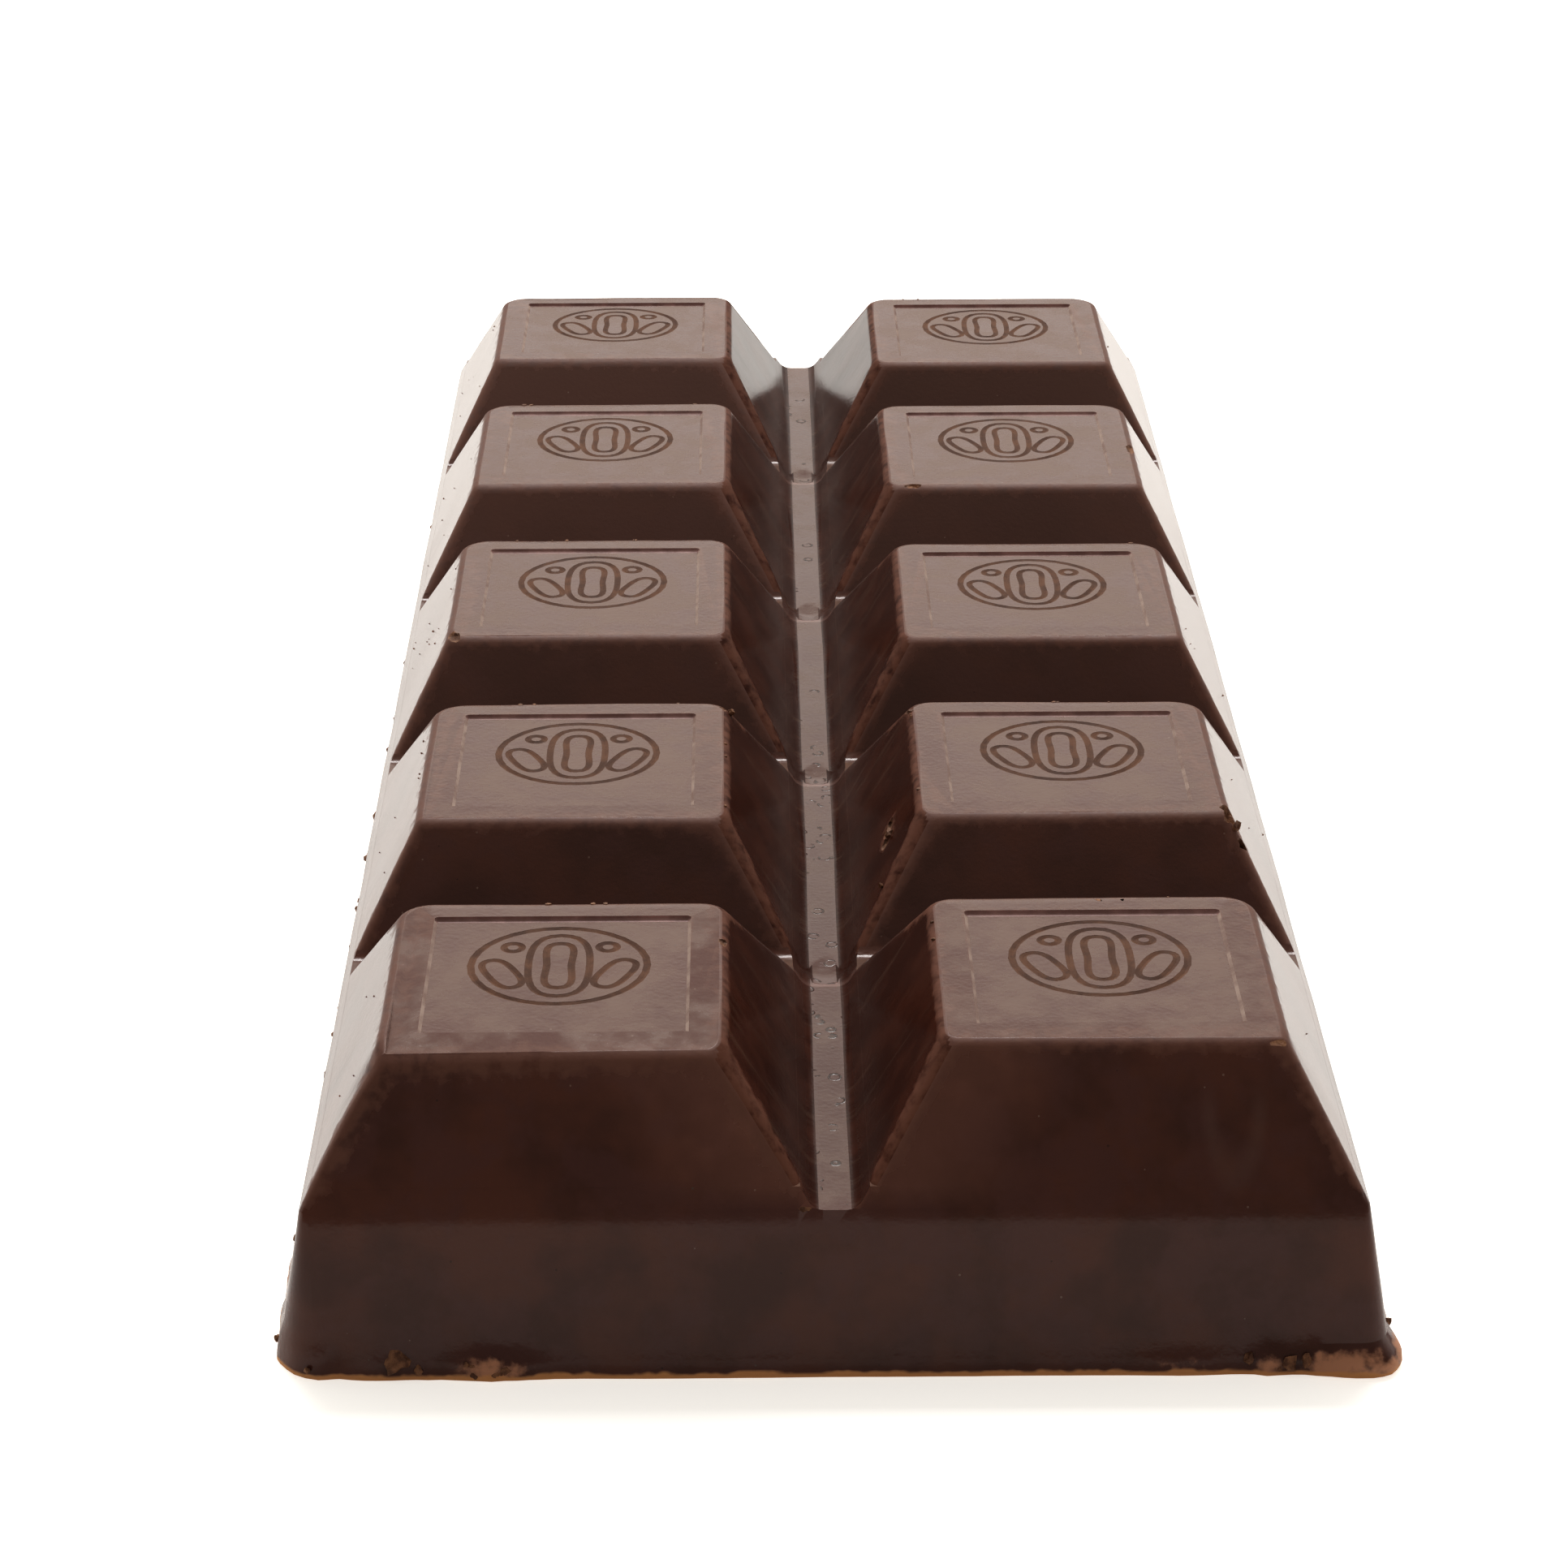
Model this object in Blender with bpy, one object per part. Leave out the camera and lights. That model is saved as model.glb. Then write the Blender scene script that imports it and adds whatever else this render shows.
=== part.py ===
"""Dark chocolate bar: two columns of five blocks on one slab, parted by grooves.

The bar is one solid. It lies on its flat back with the blocks up, and its length runs
along Y. The origin is at the middle of the underside.
"""

import math

import bmesh
import bpy
from mathutils import Vector

MM = 0.001

# The grid of blocks.
ROWS = 5
ROW_PITCH = 22.0 * MM
TOP_LENGTH = 13.4 * MM
TOP_INNER_X = 4.27 * MM
TOP_OUTER_X = 17.8 * MM

# Heights above the underside.
BAR_HEIGHT = 12.5 * MM
SLAB_HEIGHT = 6.8 * MM
GROOVE_HEIGHT = 7.6 * MM

# Slopes of the block walls, as run over rise.
END_SLOPE = 0.576
FLANK_SLOPE = 0.549
INNER_SLOPE = 0.594
GROOVE_FLOOR = 0.8 * MM
SLAB_DRAFT = 0.17

# Rounding.
NEAR_CORNER = 0.35 * MM
FAR_CORNER = 1.0 * MM
TOP_ROUNDING = 0.25 * MM
SLAB_FOOT_CORNER = 1.6 * MM
SLAB_TOP_CORNER = 0.6 * MM
SLAB_LEDGE = 0.12 * MM
SLAB_LONG_STEPS = 44
SLAB_SHORT_STEPS = 18
CORNER_STEPS = 5

# The recessed panel in each block's top.
PANEL_MARGIN = 1.4 * MM
PANEL_DEPTH = 0.22 * MM
PANEL_DRAFT = 0.12 * MM

# The thin lip that was left round the underside when the mould was scraped level.
LIP_WIDTH = 0.35 * MM
LIP_HEIGHT = 0.45 * MM
LIP_FADE = 1.0 * MM
LIP_WAVES = ((0.26, 0.50, 0.4), (0.55, 0.30, 2.1), (1.13, 0.20, 4.4))

# The low ridge across the middle valley at the far end of each row.
VALLEY_RIDGE_WIDTH = 0.35 * MM
VALLEY_RIDGE_HEIGHT = 0.12 * MM

# How far a block or a bridge sinks into the slab, so that the union has depth.
BLOCK_SINK = 0.5 * MM
BRIDGE_SINK = 0.8 * MM
BRIDGE_OVERLAP = 1.8 * MM
BRIDGE_SETBACK = 0.55 * MM
BRIDGE_SHY = 0.1 * MM

BLOCK_RISE = BAR_HEIGHT - SLAB_HEIGHT
ROW_GAP = ROW_PITCH - TOP_LENGTH
GROOVE_SLOPE = (ROW_GAP - GROOVE_FLOOR) / 2 / (BAR_HEIGHT - GROOVE_HEIGHT)
BLOCKS_HALF_LENGTH = ((ROWS - 1) * ROW_PITCH + TOP_LENGTH) / 2 + END_SLOPE * BLOCK_RISE
SLAB_TOP_HALF_WIDTH = TOP_OUTER_X + FLANK_SLOPE * BLOCK_RISE + SLAB_LEDGE
SLAB_TOP_HALF_LENGTH = BLOCKS_HALF_LENGTH + SLAB_LEDGE
SLAB_RUN = SLAB_DRAFT * SLAB_HEIGHT
CHOCOLATE = (0.045, 0.0175, 0.011, 1.0)


def clear_scene():
    for old in list(bpy.data.objects):
        bpy.data.objects.remove(old, do_unlink=True)


def new_collection(name, helper):
    collection = bpy.data.collections.new(name)
    collection.hide_render = helper
    bpy.context.scene.collection.children.link(collection)
    return collection


def object_from(mesh_builder, name, collection, helper):
    bmesh.ops.recalc_face_normals(mesh_builder, faces=mesh_builder.faces)
    mesh = bpy.data.meshes.new(name)
    mesh_builder.to_mesh(mesh)
    mesh_builder.free()
    made = bpy.data.objects.new(name, mesh)
    made.hide_render = helper
    made.display_type = "WIRE" if helper else "TEXTURED"
    collection.objects.link(made)
    return made


def chocolate_material():
    material = bpy.data.materials.new("dark_chocolate")
    material.use_nodes = True
    shader = material.node_tree.nodes["Principled BSDF"]
    shader.inputs["Base Color"].default_value = CHOCOLATE
    shader.inputs["Roughness"].default_value = 0.32
    shader.inputs["Metallic"].default_value = 0.0
    return material


def wall_y(row, far, height):
    """Where a block's near or far wall stands at a height. Grooves slope more than the ends."""
    middle = (row - (ROWS - 1) / 2) * ROW_PITCH
    at_end = row == (ROWS - 1 if far else 0)
    slope = END_SLOPE if at_end else GROOVE_SLOPE
    reach = TOP_LENGTH / 2 + slope * (BAR_HEIGHT - height)
    return middle + reach if far else middle - reach


def wall_x(side, outer, height):
    """Where a block's inner or outer wall stands at a height, on the side -1 or 1."""
    drop = BAR_HEIGHT - height
    reach = TOP_OUTER_X + FLANK_SLOPE * drop if outer else TOP_INNER_X - INNER_SLOPE * drop
    return side * reach


def tapered_box(low, high):
    """A cube whose four lower and four upper corners are set by (x0, x1, y0, y1, z)."""
    builder = bmesh.new()
    bmesh.ops.create_cube(builder, size=1.0)
    for vert in builder.verts:
        x0, x1, y0, y1, z = high if vert.co.z > 0 else low
        vert.co = Vector((x1 if vert.co.x > 0 else x0, y1 if vert.co.y > 0 else y0, z))
    return builder


def edges_where(builder, test):
    return [edge for edge in builder.edges if test(*(vert.co for vert in edge.verts))]


def bevel(builder, edges, width, steps):
    bmesh.ops.bevel(
        builder,
        geom=edges,
        offset=width,
        offset_type="OFFSET",
        segments=steps,
        profile=0.5,
        affect="EDGES",
        clamp_overlap=True,
    )


def block(side, row, collection):
    bottom = SLAB_HEIGHT - BLOCK_SINK
    corners = []
    for height in (bottom, BAR_HEIGHT):
        across = sorted((wall_x(side, False, height), wall_x(side, True, height)))
        along = (wall_y(row, False, height), wall_y(row, True, height))
        corners.append((*across, *along, height))
    builder = tapered_box(*corners)
    middle = (row - (ROWS - 1) / 2) * ROW_PITCH
    for far, width in ((False, NEAR_CORNER), (True, FAR_CORNER)):
        slanted = edges_where(
            builder,
            lambda a, b: abs(a.z - b.z) > BLOCK_RISE / 2 and (a.y > middle) == far,
        )
        bevel(builder, slanted, width, CORNER_STEPS if far else 2)
    rim = edges_where(builder, lambda a, b: min(a.z, b.z) > BAR_HEIGHT - TOP_ROUNDING / 10)
    bevel(builder, rim, TOP_ROUNDING, 2)
    return object_from(builder, f"block_{row}_{'left' if side < 0 else 'right'}", collection, True)


def panel_cutter(side, row, collection):
    middle = (row - (ROWS - 1) / 2) * ROW_PITCH
    across = sorted((side * (TOP_INNER_X + PANEL_MARGIN), side * (TOP_OUTER_X - PANEL_MARGIN)))
    reach = TOP_LENGTH / 2 - PANEL_MARGIN
    floor = BAR_HEIGHT - PANEL_DEPTH
    lift = PANEL_DEPTH * 2
    spread = PANEL_DRAFT * lift / PANEL_DEPTH
    low = (across[0] + PANEL_DRAFT, across[1] - PANEL_DRAFT, middle - reach + PANEL_DRAFT,
           middle + reach - PANEL_DRAFT, floor)
    high = (low[0] - spread, low[1] + spread, low[2] - spread, low[3] + spread, floor + lift)
    name = f"panel_{row}_{'left' if side < 0 else 'right'}"
    return object_from(tapered_box(low, high), name, collection, True)


def groove_bridge(side, row, collection):
    """Raises the floor of the cross groove beyond a row, on one side of the valley."""
    middle = (row + 0.5 - (ROWS - 1) / 2) * ROW_PITCH
    corners = []
    for height in (SLAB_HEIGHT - BRIDGE_SINK, GROOVE_HEIGHT):
        outer = abs(wall_x(side, True, GROOVE_HEIGHT)) - BRIDGE_SETBACK
        inner = abs(wall_x(side, False, height)) + BRIDGE_SHY
        across = sorted((side * inner, side * outer))
        corners.append((*across, middle - BRIDGE_OVERLAP, middle + BRIDGE_OVERLAP, height))
    name = f"bridge_{row}_{'left' if side < 0 else 'right'}"
    return object_from(tapered_box(*corners), name, collection, True)


def valley_ridge(row, collection):
    """A low ridge across the valley floor, flush with the far walls of a row."""
    y = wall_y(row, True, SLAB_HEIGHT) - GROOVE_SLOPE * BLOCK_RISE / 3
    reach = abs(wall_x(1, False, SLAB_HEIGHT)) + BLOCK_SINK
    top = SLAB_HEIGHT + VALLEY_RIDGE_HEIGHT
    half = VALLEY_RIDGE_WIDTH / 2
    low = (-reach, reach, y - half, y + half, SLAB_HEIGHT - BLOCK_SINK)
    high = (-reach, reach, y - half / 2, y + half / 2, top)
    return object_from(tapered_box(low, high), f"ridge_{row}", collection, True)


def outline(half_width, half_length, radius):
    """Points, with their outward directions, round a rectangle with round corners."""
    found = []
    for side in range(4):
        turn = side * math.pi / 2
        outward = Vector((math.cos(turn), math.sin(turn)))
        along = Vector((-math.sin(turn), math.cos(turn)))
        reach, half = (half_width, half_length) if side % 2 == 0 else (half_length, half_width)
        steps = SLAB_LONG_STEPS if side % 2 == 0 else SLAB_SHORT_STEPS
        for index in range(steps):
            place = (2 * index / steps - 1) * (half - radius)
            found.append((outward * reach + along * place, outward))
        centre = outward * (reach - radius) + along * (half - radius)
        for index in range(CORNER_STEPS):
            angle = turn + index / CORNER_STEPS * math.pi / 2
            direction = Vector((math.cos(angle), math.sin(angle)))
            found.append((centre + direction * radius, direction))
    return found


def lip_reach(index):
    """How much of the lip is left at a step round the underside, from 0 to 1."""
    total = 0.5
    for frequency, share, phase in LIP_WAVES:
        total += 0.5 * share * math.sin(index * frequency + phase)
    return min(max(total, 0.0), 1.0)


def slab(collection):
    """Rings of one outline, from the underside up to the slab's top, joined by bridging."""
    base_width = SLAB_TOP_HALF_WIDTH + SLAB_RUN
    base_length = SLAB_TOP_HALF_LENGTH + SLAB_RUN
    levels = (
        (0.0, 0.8),
        (LIP_HEIGHT / 2, 1.0),
        (LIP_HEIGHT, 0.7),
        (LIP_FADE, 0.0),
        (SLAB_HEIGHT, 0.0),
    )
    builder = bmesh.new()
    rings = []
    for height, lip_share in levels:
        width = base_width - SLAB_DRAFT * height
        length = base_length - SLAB_DRAFT * height
        radius = SLAB_FOOT_CORNER + (SLAB_TOP_CORNER - SLAB_FOOT_CORNER) * height / SLAB_HEIGHT
        ring = []
        for index, (point, outward) in enumerate(outline(width, length, radius)):
            point = point + outward * LIP_WIDTH * lip_share * lip_reach(index)
            ring.append(builder.verts.new((point.x, point.y, height)))
        rings.append(ring)
    loops = []
    for ring in rings:
        loops.append([builder.edges.new((a, b)) for a, b in zip(ring, ring[1:] + ring[:1])])
    for lower, upper in zip(loops, loops[1:]):
        bmesh.ops.bridge_loops(builder, edges=lower + upper)
    builder.faces.new(rings[0])
    builder.faces.new(rings[-1])
    return object_from(builder, "bar", collection, False)


def cut_with(target, cutter):
    modifier = target.modifiers.new(cutter.name, "BOOLEAN")
    modifier.operation = "DIFFERENCE"
    modifier.object = cutter
    modifier.solver = "EXACT"


def join_all(target, shapes):
    modifier = target.modifiers.new(shapes.name, "BOOLEAN")
    modifier.operation = "UNION"
    modifier.operand_type = "COLLECTION"
    modifier.collection = shapes
    modifier.solver = "EXACT"


def main():
    clear_scene()
    parts = new_collection("chocolate_bar", False)
    raised = new_collection("raised_shapes", True)
    cut = new_collection("cut_shapes", True)
    bar = slab(parts)
    for side in (-1, 1):
        for row in range(ROWS):
            cut_with(block(side, row, raised), panel_cutter(side, row, cut))
            if row < ROWS - 1:
                groove_bridge(side, row, raised)
    for row in range(ROWS - 1):
        valley_ridge(row, raised)
    join_all(bar, raised)
    bar.data.materials.append(chocolate_material())


main()
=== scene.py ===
import math
import random

import bmesh
import bpy
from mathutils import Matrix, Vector, kdtree, noise


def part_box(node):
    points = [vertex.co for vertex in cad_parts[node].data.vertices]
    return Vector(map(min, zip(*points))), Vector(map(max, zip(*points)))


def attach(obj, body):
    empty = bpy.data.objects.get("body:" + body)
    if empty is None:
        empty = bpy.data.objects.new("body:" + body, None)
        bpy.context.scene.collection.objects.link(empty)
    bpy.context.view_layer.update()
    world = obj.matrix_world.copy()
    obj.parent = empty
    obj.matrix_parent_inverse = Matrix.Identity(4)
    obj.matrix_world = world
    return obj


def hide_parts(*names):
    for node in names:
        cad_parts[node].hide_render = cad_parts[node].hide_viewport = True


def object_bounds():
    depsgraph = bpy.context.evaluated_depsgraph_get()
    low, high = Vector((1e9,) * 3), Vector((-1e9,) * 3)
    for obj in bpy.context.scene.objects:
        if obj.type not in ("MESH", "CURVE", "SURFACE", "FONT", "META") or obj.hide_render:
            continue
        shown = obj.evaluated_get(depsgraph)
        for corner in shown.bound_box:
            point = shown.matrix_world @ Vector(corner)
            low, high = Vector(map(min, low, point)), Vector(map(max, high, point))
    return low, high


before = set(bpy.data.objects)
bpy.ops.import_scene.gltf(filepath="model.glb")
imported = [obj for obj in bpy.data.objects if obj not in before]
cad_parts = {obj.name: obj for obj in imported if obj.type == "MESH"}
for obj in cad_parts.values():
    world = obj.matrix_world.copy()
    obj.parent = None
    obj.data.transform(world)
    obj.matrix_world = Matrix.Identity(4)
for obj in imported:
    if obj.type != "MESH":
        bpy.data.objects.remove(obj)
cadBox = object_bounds()
mm = 0.001
tiny = 0.01  # mm; how near a place must be to count as the same

# the mould's own sizes: lengths in mm, slopes as run over rise
bar = {
    "rows": 5,
    "rowPitch": 22.0,
    "topLength": 13.4,
    "topInner": 4.27,
    "topOuter": 17.8,
    "slabHeight": 6.8,
    "grooveHeight": 7.6,
    "grooveFloor": 0.8,
    "endSlope": 0.576,
    "flankSlope": 0.549,
    "innerSlope": 0.594,
    "slabDraft": 0.17,
    "height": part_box("bar")[1].z / mm,
}
bar["grooveSlope"] = (
    (bar["rowPitch"] - bar["topLength"] - bar["grooveFloor"])
    / 2
    / (bar["height"] - bar["grooveHeight"])
)


def rowMiddle(row):
    return (row - (bar["rows"] - 1) / 2) * bar["rowPitch"]


def grooveMiddle(row):
    return rowMiddle(row) + bar["rowPitch"] / 2


def nearestRow(y):
    row = round(y / bar["rowPitch"] + (bar["rows"] - 1) / 2)
    return min(bar["rows"] - 1, max(0, row))


def besideRow(y):
    # how far y lies past the middle of its row
    return y - rowMiddle(nearestRow(y))


def innerX(height):
    return bar["topInner"] - bar["innerSlope"] * (bar["height"] - height)


def outerX(height):
    return bar["topOuter"] + bar["flankSlope"] * (bar["height"] - height)


def endY(height):
    last = rowMiddle(bar["rows"] - 1) + bar["topLength"] / 2
    return last + bar["endSlope"] * (bar["height"] - height)


# the finishes that the bar's faces can have, in slot order
finishNames = (
    "darkChocolate", "brokenChocolate", "pressedLine", "panelWallHighlight", "farLineLightened", "shadedValleyChocolate"
)
finishes = [bpy.data.materials.new(name) for name in finishNames]
plain, broken, pressed, panelHighlight, deep, inner = range(6)


def giveFinish(thing, index):
    thing.data.materials.clear()
    for finish in finishes:
        thing.data.materials.append(finish)
    for face in thing.data.polygons:
        face.material_index = index


def makeActive(thing):
    if bpy.context.object and bpy.context.object.mode != "OBJECT":
        bpy.ops.object.mode_set(mode="OBJECT")
    bpy.ops.object.select_all(action="DESELECT")
    thing.select_set(True)
    bpy.context.view_layer.objects.active = thing


def startEditing(thing):
    makeActive(thing)
    bpy.ops.object.mode_set(mode="EDIT")


def stopEditing():
    bpy.ops.object.mode_set(mode="OBJECT")


def pick(thing, kind, test):
    # selects verts, edges or faces by their place, in mm; faces also by their normal
    bpy.ops.mesh.select_mode(type=kind)
    bpy.ops.mesh.select_all(action="DESELECT")
    shape = bmesh.from_edit_mesh(thing.data)
    if kind == "FACE":
        for face in shape.faces:
            face.select = test(face.calc_center_median() / mm, face.normal)
    elif kind == "EDGE":
        for edge in shape.edges:
            edge.select = test(*(vert.co / mm for vert in edge.verts))
    else:
        for vert in shape.verts:
            vert.select = test(vert.co / mm)
    shape.select_flush_mode()
    bmesh.update_edit_mesh(thing.data)


def addBox(name, low, high):
    centre = [(a + b) / 2 * mm for a, b in zip(low, high)]
    size = [(b - a) * mm for a, b in zip(low, high)]
    bpy.ops.object.select_all(action="DESELECT")
    bpy.ops.mesh.primitive_cube_add(size=1, location=centre, scale=size)
    made = bpy.context.object
    made.name = name
    bpy.ops.object.transform_apply(location=True, rotation=True, scale=True)
    return made


def flareFoot(thing, axis, runs):
    # moves a box's bottom edges outward on one axis, so that its walls slope
    foot = min(vert.co.z for vert in thing.data.vertices) / mm
    middle = sum(vert.co[axis] for vert in thing.data.vertices) / len(thing.data.vertices) / mm
    startEditing(thing)
    for side, run in zip((-1, 1), runs):
        pick(thing, "VERT", lambda co: co.z < foot + tiny and (co[axis] - middle) * side > 0)
        move = [0, 0, 0]
        move[axis] = side * run * mm
        bpy.ops.transform.translate(value=move)
    stopEditing()


def combine(target, others, operation):
    # one exact Boolean with all the others, which are then thrown away
    group = bpy.data.collections.new("operands")
    for other in others:
        group.objects.link(other)
    step = target.modifiers.new("combine", "BOOLEAN")
    step.operation = operation
    step.operand_type = "COLLECTION"
    step.collection = group
    step.solver = "EXACT"
    makeActive(target)
    bpy.ops.object.modifier_apply(modifier=step.name)
    for other in others:
        bpy.data.objects.remove(other)
    bpy.data.collections.remove(group)


def copyOf(thing, name):
    made = thing.copy()
    made.data = thing.data.copy()
    made.name = name
    bpy.context.scene.collection.objects.link(made)
    return made


def joined(things, name):
    makeActive(things[0])
    for thing in things:
        thing.select_set(True)
    bpy.ops.object.join()
    bpy.context.object.name = name
    return bpy.context.object


def roundedPlate(name, rect, radii, height, steps):
    # a flat plate; rect is (x0, x1, y0, y1), radii are ((near left, near right), (far left, far right))
    x0, x1, y0, y1 = rect
    middle = Vector(((x0 + x1) / 2, (y0 + y1) / 2, height))
    bpy.ops.object.select_all(action="DESELECT")
    bpy.ops.mesh.primitive_plane_add(size=1, location=(0, 0, 0))
    made = bpy.context.object
    made.name = name
    startEditing(made)
    bpy.ops.mesh.select_all(action="SELECT")
    bpy.ops.transform.resize(value=((x1 - x0) * mm, (y1 - y0) * mm, 1))
    bpy.ops.transform.translate(value=middle * mm)
    for far, pair in enumerate(radii):
        for right, radius in enumerate(pair):
            corner = Vector((rect[right], rect[2 + far], height))
            pick(made, "VERT", lambda co: (co - corner).length < tiny)
            bpy.ops.mesh.bevel(offset=radius * mm, segments=steps, affect="VERTICES")
    return made


def drawRing(thing, shift, old, new):
    # extrudes the selected plate and redraws its outline; old and new are (rect, radii)
    bpy.ops.mesh.extrude_region_move(TRANSFORM_OT_translate={"value": (0, 0, shift * mm)})
    shape = bmesh.from_edit_mesh(thing.data)
    (x0, x1, y0, y1), oldRadii = old
    (u0, u1, v0, v1), newRadii = new
    for vert in shape.verts:
        if not vert.select:
            continue
        x, y = vert.co.x / mm, vert.co.y / mm
        right, far = x > (x0 + x1) / 2, y > (y0 + y1) / 2
        grow = newRadii[far][right] / oldRadii[far][right]
        inX, inY = grow * (x1 - x if right else x - x0), grow * (y1 - y if far else y - y0)
        vert.co.x = (u1 - inX if right else u0 + inX) * mm
        vert.co.y = (v1 - inY if far else v0 + inY) * mm
    bmesh.update_edit_mesh(thing.data)
    return new


# the slab, with the low walls that the blocks stand on
slabLook = {
    "footCorners": ((2.3, 1.3), (1.8, 1.6)),
    "topCorner": 0.35,
    "cornerSteps": 7,
    "valleyTop": 8.5,
    "valleyFillet": 0.42,
}


def makeSlab():
    steps = (0, bar["slabHeight"], bar["grooveHeight"])
    spread = bar["slabDraft"] * bar["slabHeight"]
    reach = [(outerX(height), endY(height)) for height in steps]
    reach[0] = (reach[1][0] + spread, reach[1][1] + spread)
    rings = [((-x, x, -y, y), ((slabLook["topCorner"],) * 2,) * 2) for x, y in reach]
    ring = rings[0] = (rings[0][0], slabLook["footCorners"])
    slab = roundedPlate("chocolateBar", *ring, 0, slabLook["cornerSteps"])
    bpy.ops.mesh.select_all(action="SELECT")
    for index in (1, 2):
        ring = drawRing(slab, steps[index] - steps[index - 1], ring, rings[index])
    bpy.ops.mesh.select_all(action="SELECT")
    bpy.ops.mesh.normals_make_consistent(inside=False)
    stopEditing()

    above = slabLook["valleyTop"]
    floor = bar["slabHeight"]
    length = 1.2 * endY(0)
    valley = addBox("valleyCutter", (-innerX(above), -length, floor), (innerX(above), length, above))
    flareFoot(valley, 0, (innerX(floor) - innerX(above),) * 2)
    startEditing(valley)
    pick(valley, "EDGE", lambda a, b: max(a.z, b.z) < floor + tiny and abs(a.y - b.y) > length)
    bpy.ops.mesh.bevel(offset=slabLook["valleyFillet"] * mm, segments=4)
    stopEditing()
    combine(slab, [valley], "DIFFERENCE")
    giveFinish(slab, plain)
    return slab


blockLook = {
    "topCorners": ((0.8, 0.3), (1.1, 1.4)),
    "footCorners": ((0.4, 0.3), (0.8, 0.9)),
    "cornerSteps": 8,
    "rim": 0.26,
    "rimSteps": 3,
    "sunkTo": 7.2,
    "panelMargin": 1.42,
    "panelDepth": 0.11,
    "panelDraft": 0.13,
    "farLine": 0.22,
    "farLineSink": 0.13,
    "farLineEnd": 0.19,
    "inset": 0.002,
}
# an oval medallion with a cocoa pod between two leaves, pressed into the panel
stampLook = {
    "stroke": 0.42,
    "sink": 0.14,
    "roundTip": 0.276,
    "ovalWidth": 7.2,
    "ovalLength": 7.0,
    "podWidth": 2.5,
    "podLength": 5.6,
    "podTip": 0.45,
    "ribWidth": 1.0,
    "ribLength": 4.1,
    "leafLength": 2.7,
    "leafWidth": 1.15,
    "leafTip": 0.34,
    "leafOut": 2.3,
    "leafBack": -0.75,
    "leafTurn": 25,
    "bead": 0.75,
    "beadOut": 1.95,
    "beadUp": 1.7,
    "towardsFar": 0.9,
}


def stroke(width, length, tip=None, place=(0, 0), turn=0):
    # a closed groove's tube; tip is how blunt its two ends are, in mm, or left out if they're round
    if tip is None:
        tip = width * stampLook["roundTip"]
    bpy.ops.object.select_all(action="DESELECT")
    bpy.ops.curve.primitive_bezier_circle_add(radius=1)
    made = bpy.context.object
    for point in made.data.splines[0].bezier_points:
        atTip = abs(point.co.y) > 0.5
        for handle in (point.handle_left, point.handle_right):
            handle.x = math.copysign(tip * mm, handle.x) if atTip else handle.x * width / 2 * mm
            handle.y *= length / 2 * mm
        point.co.x *= width / 2 * mm
        point.co.y *= length / 2 * mm
    made.data.bevel_depth = stampLook["stroke"] / 2 * mm
    made.data.bevel_resolution = 2
    made.data.resolution_u = 8
    made.location = (place[0] * mm, place[1] * mm, 0)
    made.rotation_euler.z = math.radians(turn)
    bpy.ops.object.convert(target="MESH")
    bpy.ops.object.transform_apply(location=True, rotation=True, scale=True)
    return bpy.context.object


def makeStamp(centre, floor):
    look = stampLook
    strokes = [
        stroke(look["ovalWidth"], look["ovalLength"]),
        stroke(look["podWidth"], look["podLength"], look["podTip"]),
        stroke(look["ribWidth"], look["ribLength"], look["leafTip"]),
    ]
    for side in (-1, 1):
        place = (side * look["leafOut"], look["leafBack"])
        turn = -side * look["leafTurn"]
        strokes.append(stroke(look["leafWidth"], look["leafLength"], look["leafTip"], place, turn))
        place = (side * look["beadOut"], look["beadUp"])
        strokes.append(stroke(look["bead"], look["bead"], place=place))
    stamp = joined(strokes, "stamp")
    startEditing(stamp)
    bpy.ops.mesh.select_all(action="SELECT")
    bpy.ops.mesh.remove_doubles(threshold=0.000001)
    bpy.ops.mesh.normals_make_consistent(inside=False)
    height = floor + look["sink"]
    bpy.ops.transform.translate(value=(centre[0] * mm, centre[1] * mm, height * mm))
    stopEditing()
    giveFinish(stamp, pressed)
    return stamp


def makePanel(floor):
    # cuts the shallow panel in a block's top; its walls lean outwards
    look = blockLook
    margin, draft = look["panelMargin"], look["panelDraft"]
    half = bar["topLength"] / 2
    lift = 2 * look["panelDepth"]
    spread = draft * lift / look["panelDepth"] - draft
    panel = addBox(
        "panel",
        (bar["topInner"] + margin - spread, -half + margin - spread, floor),
        (bar["topOuter"] - margin + spread, half - margin + spread, floor + lift),
    )
    for axis in (0, 1):
        flareFoot(panel, axis, (-spread - draft,) * 2)
    # the panel's walls get a pale finish, a painted highlight
    giveFinish(panel, panelHighlight)
    for face in panel.data.polygons:
        if face.normal.z < -0.9:
            face.material_index = plain
    return panel


def makeFarLine(middle, floor):
    # cuts the deeper line that runs along the panel's far edge
    look = blockLook
    farEdge = bar["topLength"] / 2 - look["panelMargin"] - look["panelDraft"]
    width = bar["topOuter"] - bar["topInner"] - 2 * look["panelMargin"]
    bpy.ops.object.select_all(action="DESELECT")
    bpy.ops.mesh.primitive_cylinder_add(
        vertices=12,
        radius=look["farLine"] * mm,
        depth=width * mm,
        location=(middle * mm, farEdge * mm, (floor + look["farLineSink"]) * mm),
        rotation=(0, math.pi / 2, 0),
    )
    farLine = bpy.context.object
    bpy.ops.object.transform_apply(location=True, rotation=True, scale=True)
    startEditing(farLine)
    pick(farLine, "EDGE", lambda a, b: abs(a.x - b.x) < tiny)
    bpy.ops.mesh.bevel(offset=look["farLineEnd"] * mm, segments=3)
    stopEditing()
    # its finish is painted paler, to lift the shade in the groove
    giveFinish(farLine, deep)
    return farLine


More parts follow.
